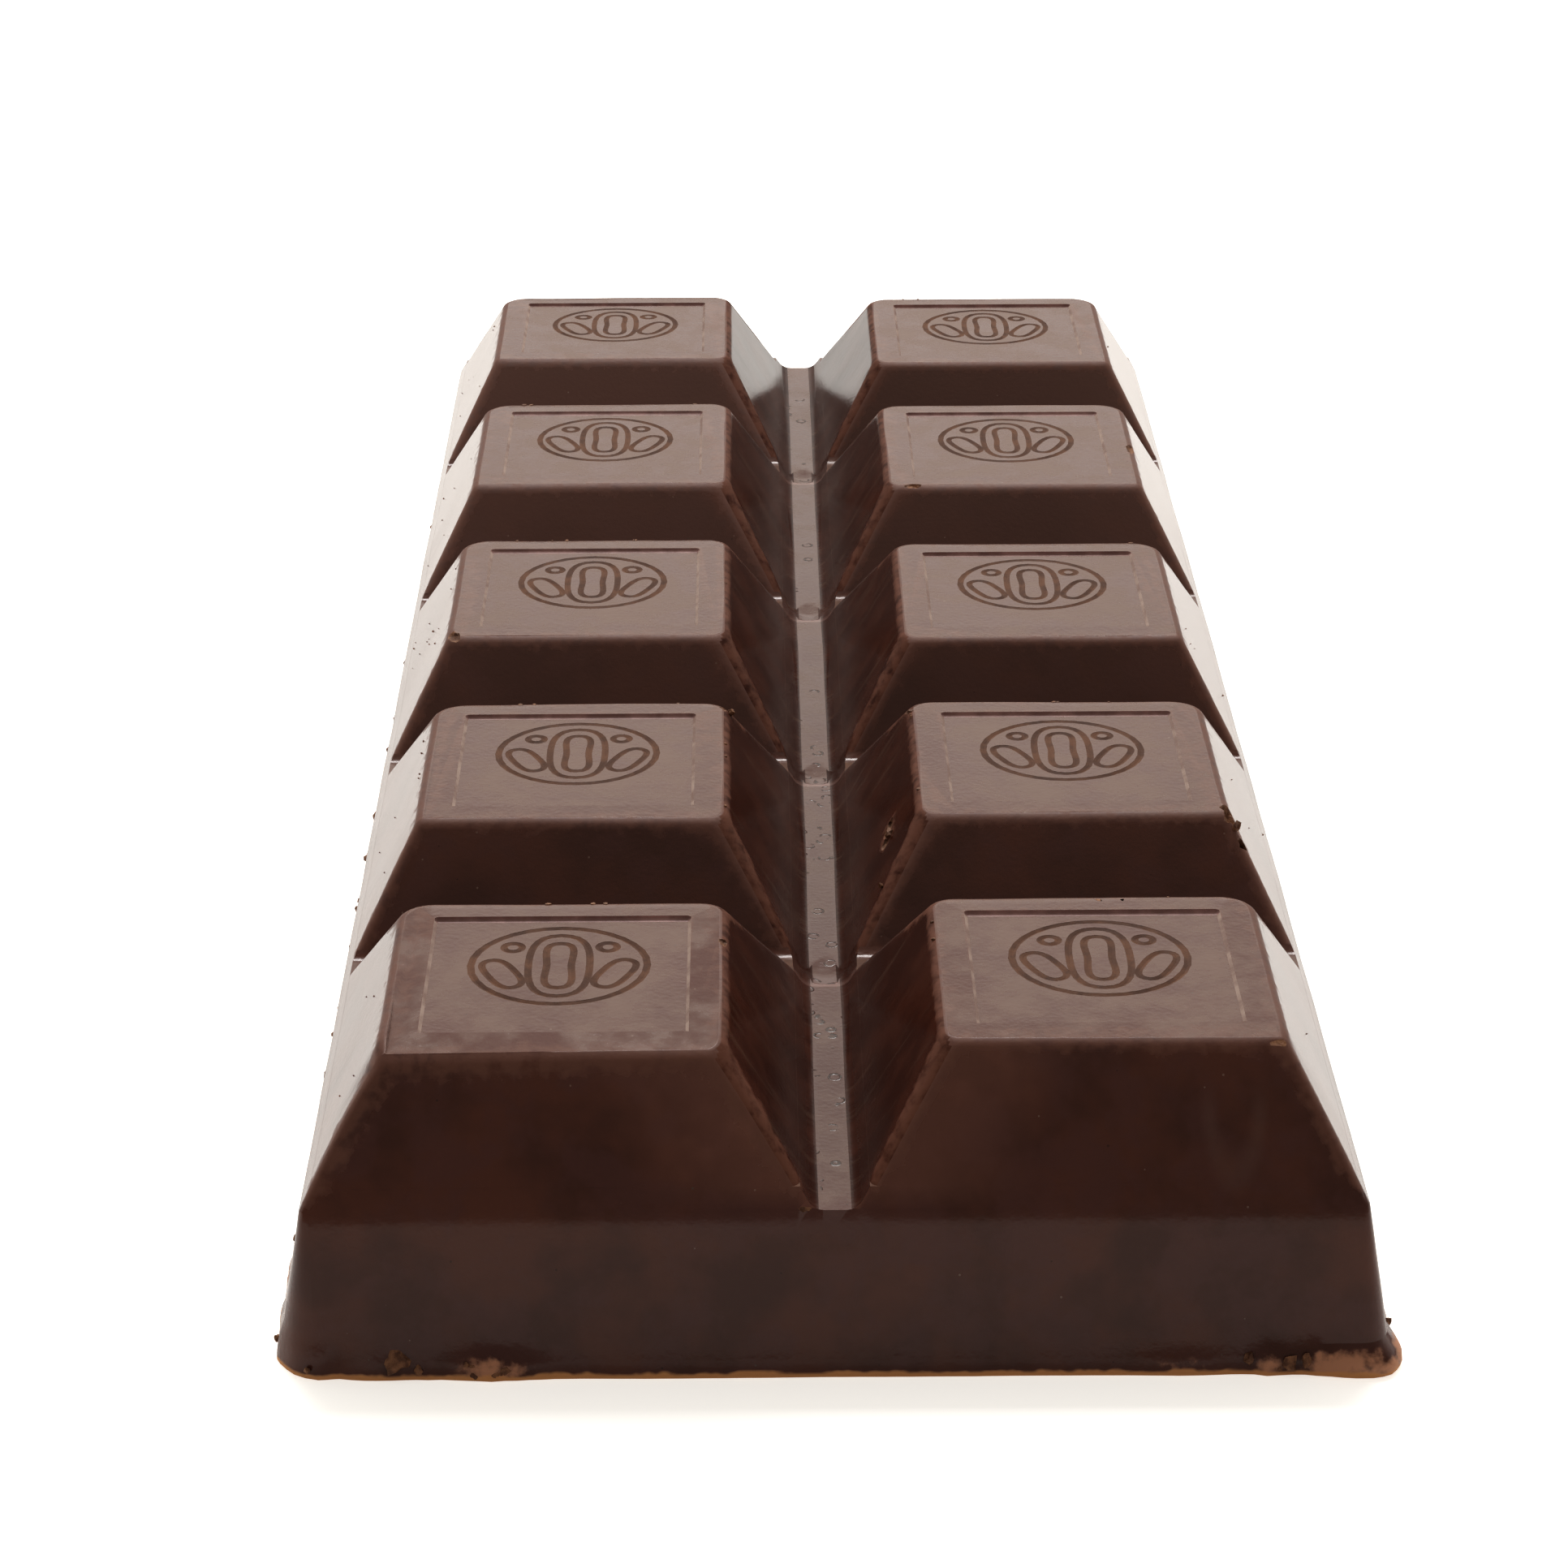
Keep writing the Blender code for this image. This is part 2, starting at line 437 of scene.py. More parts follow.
def makeBlock(name, nearSlope, farSlope):
    # one block of the right column, in the middle row's place
    look = blockLook
    top, foot = bar["height"], look["sunkTo"]
    half = bar["topLength"] / 2
    fall = top - foot
    thin = look["inset"]
    upper = (
        (bar["topInner"] + thin, bar["topOuter"] - thin, -half + thin, half - thin),
        look["topCorners"],
    )
    nearFoot, farFoot = -half - nearSlope * fall + thin, half + farSlope * fall - thin
    lower = ((innerX(foot) + thin, outerX(foot) - thin, nearFoot, farFoot), look["footCorners"])
    block = roundedPlate(name, *upper, top, look["cornerSteps"])
    bpy.ops.mesh.select_all(action="SELECT")
    drawRing(block, -fall, upper, lower)
    bpy.ops.mesh.select_all(action="SELECT")
    bpy.ops.mesh.normals_make_consistent(inside=False)
    pick(block, "EDGE", lambda a, b: min(a.z, b.z) > top - tiny)
    bpy.ops.mesh.bevel(offset=look["rim"] * mm, segments=look["rimSteps"])
    stopEditing()
    giveFinish(block, plain)

    floor = top - look["panelDepth"]
    middle = (bar["topInner"] + bar["topOuter"]) / 2
    combine(block, [makePanel(floor)], "DIFFERENCE")
    pressedIn = [makeFarLine(middle, floor), makeStamp((middle, stampLook["towardsFar"]), floor)]
    combine(block, pressedIn, "DIFFERENCE")
    return block


def placeBlock(model, side, row):
    block = copyOf(model, f"block{row}{'left' if side < 0 else 'right'}")
    startEditing(block)
    bpy.ops.mesh.select_all(action="SELECT")
    if side < 0:
        bpy.ops.transform.resize(value=(-1, 1, 1), center_override=(0, 0, 0))
        bpy.ops.mesh.flip_normals()
    bpy.ops.transform.translate(value=(0, rowMiddle(row) * mm, 0))
    stopEditing()
    return block


grooveLook = {
    "buried": 7.0,
    "above": 0.4,
    "play": 0.02,
    "rollerSides": 72,
    "rollerLength": 60,
    "nearShortened": 1.0,
    "dishStations": (-0.85, -0.7, 0.35, 1.0, 1.9),
    "dishWidths": (0.99, 1.003, 1.006, 1.003, 0.97),
    "dishDepths": (0.99, 1.05, 1.09, 1.05, 0.97),
    "dishTop": 8.3,
    "dishRound": 0.75,
}


def makeGrooveFloor(side, row):
    # the hollowed floor of a cross groove, tangent to the walls on both sides;
    # its near half stops short of the near blocks' rounded corners
    look = grooveLook
    wall = math.atan(1 / bar["grooveSlope"])
    radius = bar["grooveFloor"] / 2 * math.sin(wall) / (1 - math.cos(wall))
    half = radius * math.sin(wall) - look["play"]
    thin = blockLook["inset"]
    low, high = look["buried"], bar["grooveHeight"] + look["above"]
    halves = []
    for y0, y1, short in ((-half, look["play"], look["nearShortened"]), (0, half, 0)):
        x0, x1 = innerX(high) + thin + short, outerX(high) - thin - short
        floor = addBox("grooveFloor", (x0, y0, low), (x1, y1, high))
        flareFoot(floor, 0, (innerX(high) - innerX(low), outerX(low) - outerX(high)))
        giveFinish(floor, plain)
        bpy.ops.object.select_all(action="DESELECT")
        bpy.ops.mesh.primitive_cylinder_add(
            vertices=look["rollerSides"],
            radius=radius * mm,
            depth=look["rollerLength"] * mm,
            location=(0, 0, (bar["grooveHeight"] + radius) * mm),
            rotation=(0, math.pi / 2, 0),
        )
        roller = bpy.context.object
        bpy.ops.object.transform_apply(location=True, rotation=True, scale=True)
        giveFinish(roller, plain)
        combine(floor, [roller], "DIFFERENCE")
        startEditing(floor)
        bpy.ops.mesh.select_all(action="SELECT")
        if side < 0:
            bpy.ops.transform.resize(value=(-1, 1, 1), center_override=(0, 0, 0))
            bpy.ops.mesh.flip_normals()
        bpy.ops.transform.translate(value=(0, grooveMiddle(row) * mm, 0))
        stopEditing()
        halves.append(floor)
    return halves


def makeDish(row):
    # cuts the shallow dish where the valley crosses a groove, deepest about its middle
    look = grooveLook
    floor, above = bar["slabHeight"], look["dishTop"]
    stations = [grooveMiddle(row) + station for station in look["dishStations"]]
    span = stations[0], stations[-1]
    dish = addBox("dish", (-innerX(above), span[0], floor), (innerX(above), span[1], above))
    flareFoot(dish, 0, (innerX(floor) - innerX(above),) * 2)
    startEditing(dish)
    pick(dish, "EDGE", lambda a, b: max(a.z, b.z) < floor + tiny and abs(a.y - b.y) > 1)
    bpy.ops.mesh.bevel(offset=look["dishRound"] * mm, segments=10)
    for station in stations[1:-1]:
        bpy.ops.mesh.select_all(action="SELECT")
        bpy.ops.mesh.bisect(
            plane_co=(0, station * mm, 0), plane_no=(0, 1, 0), threshold=0.000001
        )
    for station, width, depth in zip(stations, look["dishWidths"], look["dishDepths"]):
        pick(dish, "VERT", lambda co: abs(co.y - station) < tiny)
        bpy.ops.transform.resize(
            value=(width, 1, depth), center_override=(0, station * mm, above * mm)
        )
    bpy.ops.mesh.select_all(action="SELECT")
    bpy.ops.mesh.normals_make_consistent(inside=False)
    stopEditing()
    giveFinish(dish, plain)
    return dish


# small breaks: where, how big along x, y and z, and how turned about x, y and z
chips = [
    ((18.05, -28.3, 12.2), (0.55, 0.85, 0.5), (35, 0, 0)),
    ((18.5, -29.5, 11.4), (0.3, 0.3, 0.8), (38, 18, 0)),
    ((17.6, -51.0, 12.7), (1.5, 0.5, 0.45), (30, 0, 0)),
    ((3.0, -25.4, 10.4), (0.35, 0.75, 0.35), (20, 30, 0)),
    ((2.75, -26.3, 10.1), (0.3, 0.4, 0.3), (0, 30, 0)),
    ((4.0, -16.0, 12.45), (0.3, 0.35, 0.3), (0, 0, 0)),
    ((-4.2, -15.9, 12.6), (0.35, 0.4, 0.3), (0, 0, 0)),
    ((-1.15, -54.25, 6.95), (0.4, 0.35, 0.28), (0, 0, 0)),
    ((-4.25, -41.1, 12.6), (0.28, 0.4, 0.28), (0, 0, 0)),
    ((-17.6, -6.5, 12.6), (0.4, 0.6, 0.3), (0, 0, 0)),
    ((17.9, 21.3, 12.6), (0.4, 0.9, 0.35), (0, 0, 0)),
    ((-17.9, 36.4, 12.5), (0.5, 0.7, 0.4), (0, 0, 0)),
    ((-9.3, 50.9, 12.6), (0.9, 0.4, 0.35), (0, 0, 0)),
    ((12.2, 50.8, 12.65), (0.5, 0.35, 0.3), (0, 0, 0)),
    ((21.2, -9.4, 7.3), (0.4, 0.7, 0.35), (0, 0, 0)),
    ((-21.2, 14.2, 7.2), (0.4, 0.5, 0.3), (0, 0, 0)),
    ((21.0, 53.9, 6.9), (0.6, 0.5, 0.4), (0, 0, 20)),
    ((5.6, 15.4, 12.6), (0.45, 0.3, 0.25), (0, 0, 0)),
    ((9.8, -14.95, 12.62), (0.35, 0.25, 0.22), (0, 0, 0)),
    ((-12.4, -15.1, 12.62), (0.3, 0.22, 0.2), (0, 0, 0)),
]


def roughBall(name, place, size, turn, seed, roughness=0.35, subdivisions=3):
    # a lump of broken chocolate, centred at place
    bpy.ops.object.select_all(action="DESELECT")
    bpy.ops.mesh.primitive_ico_sphere_add(subdivisions=subdivisions, radius=1)
    ball = bpy.context.object
    ball.name = name
    for vert in ball.data.vertices:
        offset = noise.noise(vert.co * 1.3 + Vector((seed * 7.1, 0, 0)))
        offset += 0.5 * noise.noise(vert.co * 3.1 + Vector((0, seed * 5.3, 0)))
        vert.co *= 1 + roughness * offset
    ball.scale = [length * mm for length in size]
    ball.rotation_euler = [math.radians(angle) for angle in turn]
    ball.location = [length * mm for length in place]
    bpy.ops.object.transform_apply(location=True, rotation=True, scale=True)
    giveFinish(ball, broken)
    return ball


# where the valley's own finishes lie: the steep inner walls, and the flat steps past the dishes
valleyReach = {
    "wallTilt": 0.3,
    "wallReach": 4.5,
    "stepFlat": 0.98,
    "stepReach": 3.5,
    "stepPlay": 0.03,
}


def giveValleyFinishes(body):
    look = valleyReach
    for face in body.data.polygons:
        middle = face.center / mm
        inward = -math.copysign(1, middle.x) * face.normal.x
        onWall = inward > look["wallTilt"] and abs(middle.x) < look["wallReach"]
        # the inner walls take the valley finish, whose darker colour is painted shade
        if face.material_index == plain and onWall:
            face.material_index = inner
        flat = face.normal.z > look["stepFlat"] and abs(middle.x) < look["stepReach"]
        atHeight = abs(middle.z - bar["grooveHeight"]) < look["stepPlay"]
        if flat and atHeight and besideRow(middle.y) > 0:
            face.material_index = pressed


def makeBar():
    body = makeSlab()
    print("slab done")
    groove, end = bar["grooveSlope"], bar["endSlope"]
    models = [
        makeBlock("nearModel", end, groove),
        makeBlock("midModel", groove, groove),
        makeBlock("farModel", groove, end),
    ]
    last = bar["rows"] - 1
    raised = []
    for side in (-1, 1):
        for row in range(bar["rows"]):
            kind = 0 if row == 0 else 2 if row == last else 1
            raised.append(placeBlock(models[kind], side, row))
            if row < last:
                raised += makeGrooveFloor(side, row)
    for model in models:
        bpy.data.objects.remove(model)
    combine(body, raised, "UNION")
    print("blocks and grooves done")
    cutters = [makeDish(row) for row in range(last)]
    for index, (place, size, turn) in enumerate(chips):
        cutters.append(roughBall("chip", place, size, turn, index))
    combine(body, cutters, "DIFFERENCE")
    giveValleyFinishes(body)
    print("dishes and chips done")
    return body


gridLook = {
    "step": 0.5,
    "shift": 0.013,
    "fromEdge": 0.2,
    "besideLip": 0.3,
    "slabLevels": (0.25, 0.5, 0.8, 1.2, 1.8, 2.6, 3.5, 4.4, 5.3, 6.1),
}


def inPanel(place):
    margin = blockLook["panelMargin"] + 0.05
    inRow = abs(besideRow(place.y)) < bar["topLength"] / 2 - margin
    inColumn = bar["topInner"] + margin < abs(place.x) < bar["topOuter"] - margin
    return inRow and inColumn and place.z > bar["height"] - 1


def addGrid(body):
    # cuts the faces small enough to be bent, but for the panels, the base and the fine finishes
    step = gridLook["step"]
    slabTop = bar["slabHeight"]
    startEditing(body)
    pick(body, "FACE", lambda co, normal: inPanel(co) or co.z < tiny)
    bpy.ops.mesh.hide(unselected=False)
    for index in (broken, pressed, panelHighlight, deep):
        bpy.ops.mesh.select_all(action="DESELECT")
        body.active_material_index = index
        bpy.ops.object.material_slot_select()
        bpy.ops.mesh.hide(unselected=False)
    cuts = []
    for axis, reach in enumerate((outerX(slabTop), endY(slabTop))):
        count = int((reach - gridLook["fromEdge"]) / step)
        for index in range(-count, count + 1):
            place, along = [0, 0, 0], [0, 0, 0]
            place[axis], along[axis] = (index + gridLook["shift"]) * step * mm, 1
            cuts.append((place, along))
    cuts += [((0, 0, level * mm), (0, 0, 1)) for level in gridLook["slabLevels"]]
    # close cuts on both sides of each dish's near lip
    for row in range(bar["rows"] - 1):
        lipY = grooveMiddle(row) + grooveLook["dishStations"][0]
        for beside in (-gridLook["besideLip"], gridLook["besideLip"]):
            cuts.append(((0, (lipY + beside) * mm, 0), (0, 1, 0)))
    for place, along in cuts:
        bpy.ops.mesh.select_all(action="SELECT")
        bpy.ops.mesh.bisect(plane_co=place, plane_no=along, threshold=0.0000005)
    bpy.ops.mesh.reveal()
    bpy.ops.mesh.select_all(action="SELECT")
    bpy.ops.mesh.remove_doubles(threshold=0.000001)
    stopEditing()


# how far each block's near and far top edges lie from the even layout, along y,
# and how much its near edge is worn down at its outer and inner ends
handMade = {
    (-1, 0): (-0.45, -0.25, 0.55, 0.3),
    (1, 0): (0.15, 0.05, 0.16, 0.08),
    (-1, 1): (-0.05, 0.0, 0.07, 0.1),
    (1, 1): (0.2, -0.05, 0.05, 0.1),
    (-1, 2): (0.0, 0.45, 0.08, 0.06),
    (1, 2): (-0.4, -0.4, 0.06, 0.06),
    (-1, 3): (0.5, 0.9, 0.06, 0.06),
    (1, 3): (0.0, 0.4, 0.06, 0.06),
    (-1, 4): (0.7, -0.3, 0.06, 0.08),
    (1, 4): (-0.35, -0.9, 0.08, 0.06),
}
unevenLook = {
    "broad": 0.04,
    "broadSize": 6.5,
    "fine": 0.007,
    "fineSize": 1.7,
    "shiftFrom": 7.95,
    "wornReach": 1.35,
    "lip": 0.05,
    "lipFrom": 0.62,
    "lipHeight": 1.15,
    "lipRagged": 0.30,
    "broadRagged": 2.4,
    "fineRagged": 0.7,
    "calmPast": (-54.6, -54.0),
    "calmAbout": 0.5,
    "calmWithin": (10.5, 14),
    # single places along the foot: how much, where and how wide
    "bulge": 0.5,
    "bulgeAt": (21.6, -54.9),
    "bulgeWide": (2.6, 1.6),
    "nibble": 0.7,
    "nibbleAt": (-21.0, -54.0),
    "nibbleWide": (3.2, 3.2),
    "nibbleSize": 1.1,
    "tall": 0.7,
    "tallAt": (-22, -54.5),
    "tallWide": (2, 2.5),
    "seed": 4,
}
noise.seed_set(unevenLook["seed"])  # vector noise takes the time of day otherwise


def smooth(value, low, high):
    share = min(1, max(0, (value - low) / (high - low)))
    return share * share * (3 - 2 * share)


def hill(x, y, place, wide):
    # 1 at the place, falling off over its width along x and y
    return math.exp(-(((x - place[0]) / wide[0]) ** 2) - ((y - place[1]) / wide[1]) ** 2)


def handMadeAt(x, row):
    # how far the near and far top edges are off, and how worn the near one is at x
    near, far, wornOuter, wornInner = handMade[(1 if x > 0 else -1, row)]
    across = smooth(abs(x), bar["topInner"], bar["topOuter"])
    return near, far, wornInner + (wornOuter - wornInner) * across


def lipReach(x, y):
    # how far the ragged foot stands out: calm along the middle of the near end
    look = unevenLook
    broad = noise.noise(Vector((x, y, 3.7)) / look["broadRagged"])
    fine = noise.noise(Vector((x, y, 9.1)) / look["fineRagged"])
    ragged = max(0, 0.45 + broad) * 0.6 + max(0, fine) * 0.7
    calm = smooth(y, *look["calmPast"]) + smooth(abs(x - look["calmAbout"]), *look["calmWithin"])
    bulge = hill(x, y, look["bulgeAt"], look["bulgeWide"])
    nibble = hill(x, y, look["nibbleAt"], look["nibbleWide"])
    nibble *= max(0, noise.noise(Vector((x, y, 5.3)) / look["nibbleSize"]))
    reach = look["lip"] + look["lipRagged"] * ragged * min(1, 0.12 + calm)
    return reach + look["bulge"] * bulge - look["nibble"] * nibble


def unevenPlace(co, outward):
    look = unevenLook
    x, y, z = co
    fromRow = besideRow(y)
    near, far, worn = handMadeAt(x, nearestRow(y))
    half = bar["topLength"] / 2
    share = max(0, (z - look["shiftFrom"]) / (bar["height"] - look["shiftFrom"]))
    along = min(1, max(0, (fromRow + half) / (2 * half)))
    moved = Vector(co)
    moved.y += share * (near + (far - near) * along)
    moved.z -= worn * share**3 * (1 - smooth(fromRow + half, -0.2, look["wornReach"])) ** 2

    # gentle waves, fading out towards the pressed panels and the base
    u = abs(abs(x) - (bar["topInner"] + bar["topOuter"]) / 2)
    edge = max(u - (bar["topOuter"] - bar["topInner"]) / 2, abs(fromRow) - half)
    calm = smooth(edge, -blockLook["panelMargin"], -0.4) if z > bar["height"] - 0.8 else 1
    wave = look["broad"] * noise.noise_vector(co / look["broadSize"])
    wave += look["fine"] * noise.noise_vector(co / look["fineSize"])
    wave.z *= smooth(z, 0, 1)
    moved += wave * calm

    # the ragged foot, taller at its near left corner
    tall = 1 + look["tall"] * hill(x, y, look["tallAt"], look["tallWide"])
    if z < look["lipHeight"] * tall and outward.length > 0.3:
        profile = 1 - smooth(z, look["lipFrom"] * tall, look["lipHeight"] * tall)
        profile *= 0.78 + 0.22 * smooth(z, 0, 0.3)
        moved.xy += outward.normalized() * lipReach(x, y) * profile
    return moved


def keepInBox(place):
    # place is in mm
    low, high = (corner / mm for corner in cadBox)
    for axis in (0, 1):
        place[axis] = min(high[axis] - tiny, max(low[axis] + tiny, place[axis]))
    place.z = min(bar["height"], max(0, place.z))
    return place


def makeUneven(body):
    outward = [vert.normal.xy for vert in body.data.vertices]
    for vert, out in zip(body.data.vertices, outward):
        vert.co = keepInBox(unevenPlace(vert.co / mm, out)) * mm


wearLook = {
    "sharp": 28,
    "least": 4,
    "pointStep": 0.15,
    "lowest": 7.9,
    "reach": 0.36,
    "wornReach": 1.5,
    "nearFade": (0.3, 1.2),
    "farFade": (0.1, 0.5),
    "farSpared": 0.7,
    "footFade": (0.02, 0.3),
    "footTop": (0.7, 1.25),
    "cornerBelow": 0.3,
    "cornerLowest": 6.85,
    "cornerNarrow": 0.35,
    "cornerWide": 1.5,
    "cornerBand": 0.7,
    "cornerZone": 0.85,
    "zoneFade": (1.2, 6.8),
    "lipFade": (0.08, 0.28),
    "lipReach": 2.2,
    "lipTop": 8,
}


def sharpPoints(shape):
    # points along the outer edges that bend more than so many degrees per mm
    look = wearLook
    points = []
    for edge in shape.edges:
        length = edge.calc_length() / mm
        if len(edge.link_faces) != 2 or not edge.is_convex or length < 0.001:
            continue
        angle = math.degrees(edge.calc_face_angle())
        width = sum(face.calc_area() for face in edge.link_faces) / mm / mm / 2 / length
        a, b = (vert.co for vert in edge.verts)
        middle = (a + b) / 2 / mm
        isSharp = angle > look["least"] and angle > look["sharp"] * width
        if isSharp and middle.z > look["lowest"] and not inPanel(middle):
            count = max(1, int(length / look["pointStep"]))
            points += [a.lerp(b, (index + 0.5) / count) for index in range(count)]
    return points


def cornerShare(place, row):
    # the near slopes' inner corners: a band along the edge, and a wide zone on the first row; the paler
    # tone laid there is partly bloom and partly painted light standing for a broad rounded corner
    look = wearLook
    up = max(0, place.z - look["lowest"]) / (bar["height"] - look["lowest"])
    width = look["cornerNarrow"] + look["cornerWide"] * up**2
    inward = abs(place.x) - innerX(place.z)
    band = look["cornerBand"] * (1 - smooth(inward, 0.3 * width, 1.2 * width))
    zone = look["cornerZone"] * (1 - smooth(inward, *look["zoneFade"]))
    return max(band, zone) if row == 0 else band


def markWear(body):
    # edgeWear is 1 on sharp outer edges and fades out; the other shares mark the foot, where wear and a
    # painted glow of light through the thin lip go, the near slopes' inner corners, paler from bloom
    # and painted light, and the dishes' near lips, where a highlight is painted
    look = wearLook
    shape = bmesh.new()
    shape.from_mesh(body.data)
    points = sharpPoints(shape)
    tree = kdtree.KDTree(len(points))
    for index, point in enumerate(points):
        tree.insert(point, index)
    tree.balance()
    layers = shape.verts.layers.float
    names = ("edgeWear", "footWearAndGlow", "cornerBloomAndLight", "lipHighlight")
    for name in names:
        layers.new(name)
    wear, foot, corner, lip = (layers[name] for name in names)
    half = bar["topLength"] / 2
    slabTop = bar["slabHeight"]
    for vert in shape.verts:
        place = vert.co / mm
        x, y, z = place
        row = nearestRow(y)
        fromRow = besideRow(y)
        near, _, worn = handMadeAt(x, row)
        distance = tree.find(vert.co)[2] / mm
        nearSide = 1 - smooth(fromRow + half - near, *look["nearFade"])
        farSide = smooth(fromRow - half - near, *look["farFade"])
        vert[wear] = max(0, 1 - distance / (look["reach"] + look["wornReach"] * worn * nearSide))
        vert[wear] *= 1 - look["farSpared"] * farSide

        # the foot's share: wear there, and a painted glow of light through the thin lip
        spread = bar["slabDraft"] * (slabTop - z)
        reach = max(abs(x) - outerX(slabTop), abs(y) - endY(slabTop)) - spread
        vert[foot] = smooth(reach, *look["footFade"]) * (1 - smooth(z, *look["footTop"]))

        lowest = look["cornerLowest"] if row == 0 else look["lowest"]
        # the corners' share: partly bloom, partly painted light of a broad rounded corner
        if fromRow < near - half + look["cornerBelow"] and z > lowest:
            vert[corner] = cornerShare(place, row)
        # each dish's near lip gets a share for a painted highlight
        fromLip = abs(fromRow - bar["rowPitch"] / 2 - grooveLook["dishStations"][0])
        if row < bar["rows"] - 1 and abs(x) < look["lipReach"] and z < look["lipTop"]:
            vert[lip] = 1 - smooth(fromLip, *look["lipFade"])
    shape.to_mesh(body.data)
    shape.free()


crumbLook = {
    # single crumbs: where they lie, and their radius
    "single": (
        ((-22.05, -0.9, 0.42), 0.3),
        ((-22.05, -10.8, 0.42), 0.3),
        ((-22.05, -22.9, 0.42), 0.3),
        ((-22.05, -29.5, 0.42), 0.3),
        ((-17.2, -55.05, 0.75), 0.42),
        ((-4.05, -16.1, 12.3), 0.17),
        ((4.3, -16.4, 12.4), 0.14),
        ((3.05, -26.1, 10.5), 0.2),
        ((2.5, -30.0, 9.75), 0.13),
        ((18.15, -28.9, 12.0), 0.2),
        ((11.4, -37.6, 12.5), 0.13),
        ((12.4, -37.6, 12.5), 0.11),
    ),
    "alongFoot": 60,
    "atEnds": 0.3,
    "footSide": 22.1,
    "footEnd": 55.15,
    "footHeight": (0.15, 0.7),
    "footRadius": (0.1, 0.26),
    "onTops": 34,
    "atFarEdge": 0.6,
    "topRadius": (0.05, 0.11),
    "onFlanks": 46,
    "flankHeight": (7.4, 12.0),
    "flankRadius": (0.02, 0.05),
    # drawn from, so that the left side and the second and third rows get more
    "sides": (-1, -1, 1),
    "rows": (0, 1, 1, 2, 2, 3, 4),
    "roughness": 0.6,
    "seed": 11,
}


def crumbPlaces(draw):
    look = crumbLook
    still = Vector((0, 0))
    places = list(look["single"])
    for _ in range(look["alongFoot"]):
        atEnd = draw.random() < look["atEnds"]
        side = draw.choice(look["sides"])
        height = draw.uniform(*look["footHeight"])
        if atEnd:
            reach = 12 + 9 * draw.random()
            place = (draw.choice((-1, 1)) * reach, side * look["footEnd"], height)
        else:
            place = (side * look["footSide"], draw.uniform(-53, 53), height)
        places.append((place, draw.uniform(*look["footRadius"])))
    half = bar["topLength"] / 2
    for _ in range(look["onTops"]):
        middle = rowMiddle(draw.choice(look["rows"]))
        side = draw.choice((-1, 1))
        if draw.random() < look["atFarEdge"]:
            place = (side * draw.uniform(5, 17), middle + half - 0.1, bar["height"])
        else:
            edge = side * (bar["topInner"] + 0.05)
            place = (edge, middle + draw.uniform(-half, half), bar["height"] - 0.08)
        places.append((unevenPlace(Vector(place), still), draw.uniform(*look["topRadius"])))
    for _ in range(look["onFlanks"]):
        side = draw.choice(look["sides"])
        middle = rowMiddle(draw.choice(look["rows"]))
        height = draw.uniform(*look["flankHeight"])
        place = Vector((side * outerX(height), middle + draw.uniform(-6, 6), height))
        places.append((unevenPlace(place, still), draw.uniform(*look["flankRadius"])))
    return places


def makeCrumbs():
    # loose crumbs that cling to the foot and the blocks' edges
    draw = random.Random(crumbLook["seed"])
    lumps = []
    for index, (place, radius) in enumerate(crumbPlaces(draw)):
        size = [radius * draw.uniform(0.75, 1.25) for _ in range(3)]
        turn = [draw.uniform(0, 360) for _ in range(3)]
        lump = roughBall(
            "crumb", place, size, turn, index, roughness=crumbLook["roughness"], subdivisions=2
        )
        lumps.append(lump)
    crumbs = joined(lumps, "crumbs")
    for vert in crumbs.data.vertices:
        vert.co = keepInBox(vert.co / mm) * mm
    return crumbs


body = makeBar()
addGrid(body)
makeUneven(body)
markWear(body)
makeActive(body)
bpy.ops.object.shade_smooth_by_angle(angle=math.radians(30))
weighted = body.modifiers.new("weighted", "WEIGHTED_NORMAL")
weighted.keep_sharp = True
bpy.ops.object.modifier_apply(modifier=weighted.name)
print("walls made uneven")
crumbs = makeCrumbs()
makeActive(crumbs)
bpy.ops.object.shade_smooth_by_angle(angle=math.radians(40))
print("crumbs done")


def addNode(tree, kind, settings=None, **values):
    # adds a node; a value is a number, a colour or the socket that feeds that input,
    # and an input is given by its name or, as in i6, by its number
    node = tree.nodes.new("ShaderNode" + kind)
    for name, value in (settings or {}).items():
        setattr(node, name, value)
    for name, value in values.items():
        number = name[1:]
        socket = node.inputs[int(number) if number.isdigit() else name.replace("_", " ")]
        if isinstance(value, bpy.types.NodeSocket):
            tree.links.new(value, socket)
        else:
            socket.default_value = value
    return node


def ramp(tree, value, low, high, atLow=0, atHigh=1):
    node = addNode(
        tree, "MapRange", {"interpolation_type": "SMOOTHSTEP"},
        Value=value, From_Min=low, From_Max=high, To_Min=atLow, To_Max=atHigh,
    )
    return node.outputs[0]


def calculate(tree, operation, first, second):
    return addNode(tree, "Math", {"operation": operation}, i0=first, i1=second).outputs[0]


def times(tree, first, *others):
    for other in others:
        first = calculate(tree, "MULTIPLY", first, other)
    return first


def distanceFrom(tree, value, middle):
    return calculate(tree, "ABSOLUTE", calculate(tree, "SUBTRACT", value, middle), 0)


def blend(tree, share, first, second):
    # colours are given as red, green and blue, or as sockets
    ends = [end if isinstance(end, bpy.types.NodeSocket) else (*end, 1) for end in (first, second)]
    node = addNode(tree, "Mix", {"data_type": "RGBA"}, Factor=share, i6=ends[0], i7=ends[1])
    return node.outputs[2]


def marked(tree, name):
    # one of the shares that markWear stores in the mesh
    return addNode(tree, "Attribute", {"attribute_name": name}).outputs["Fac"]


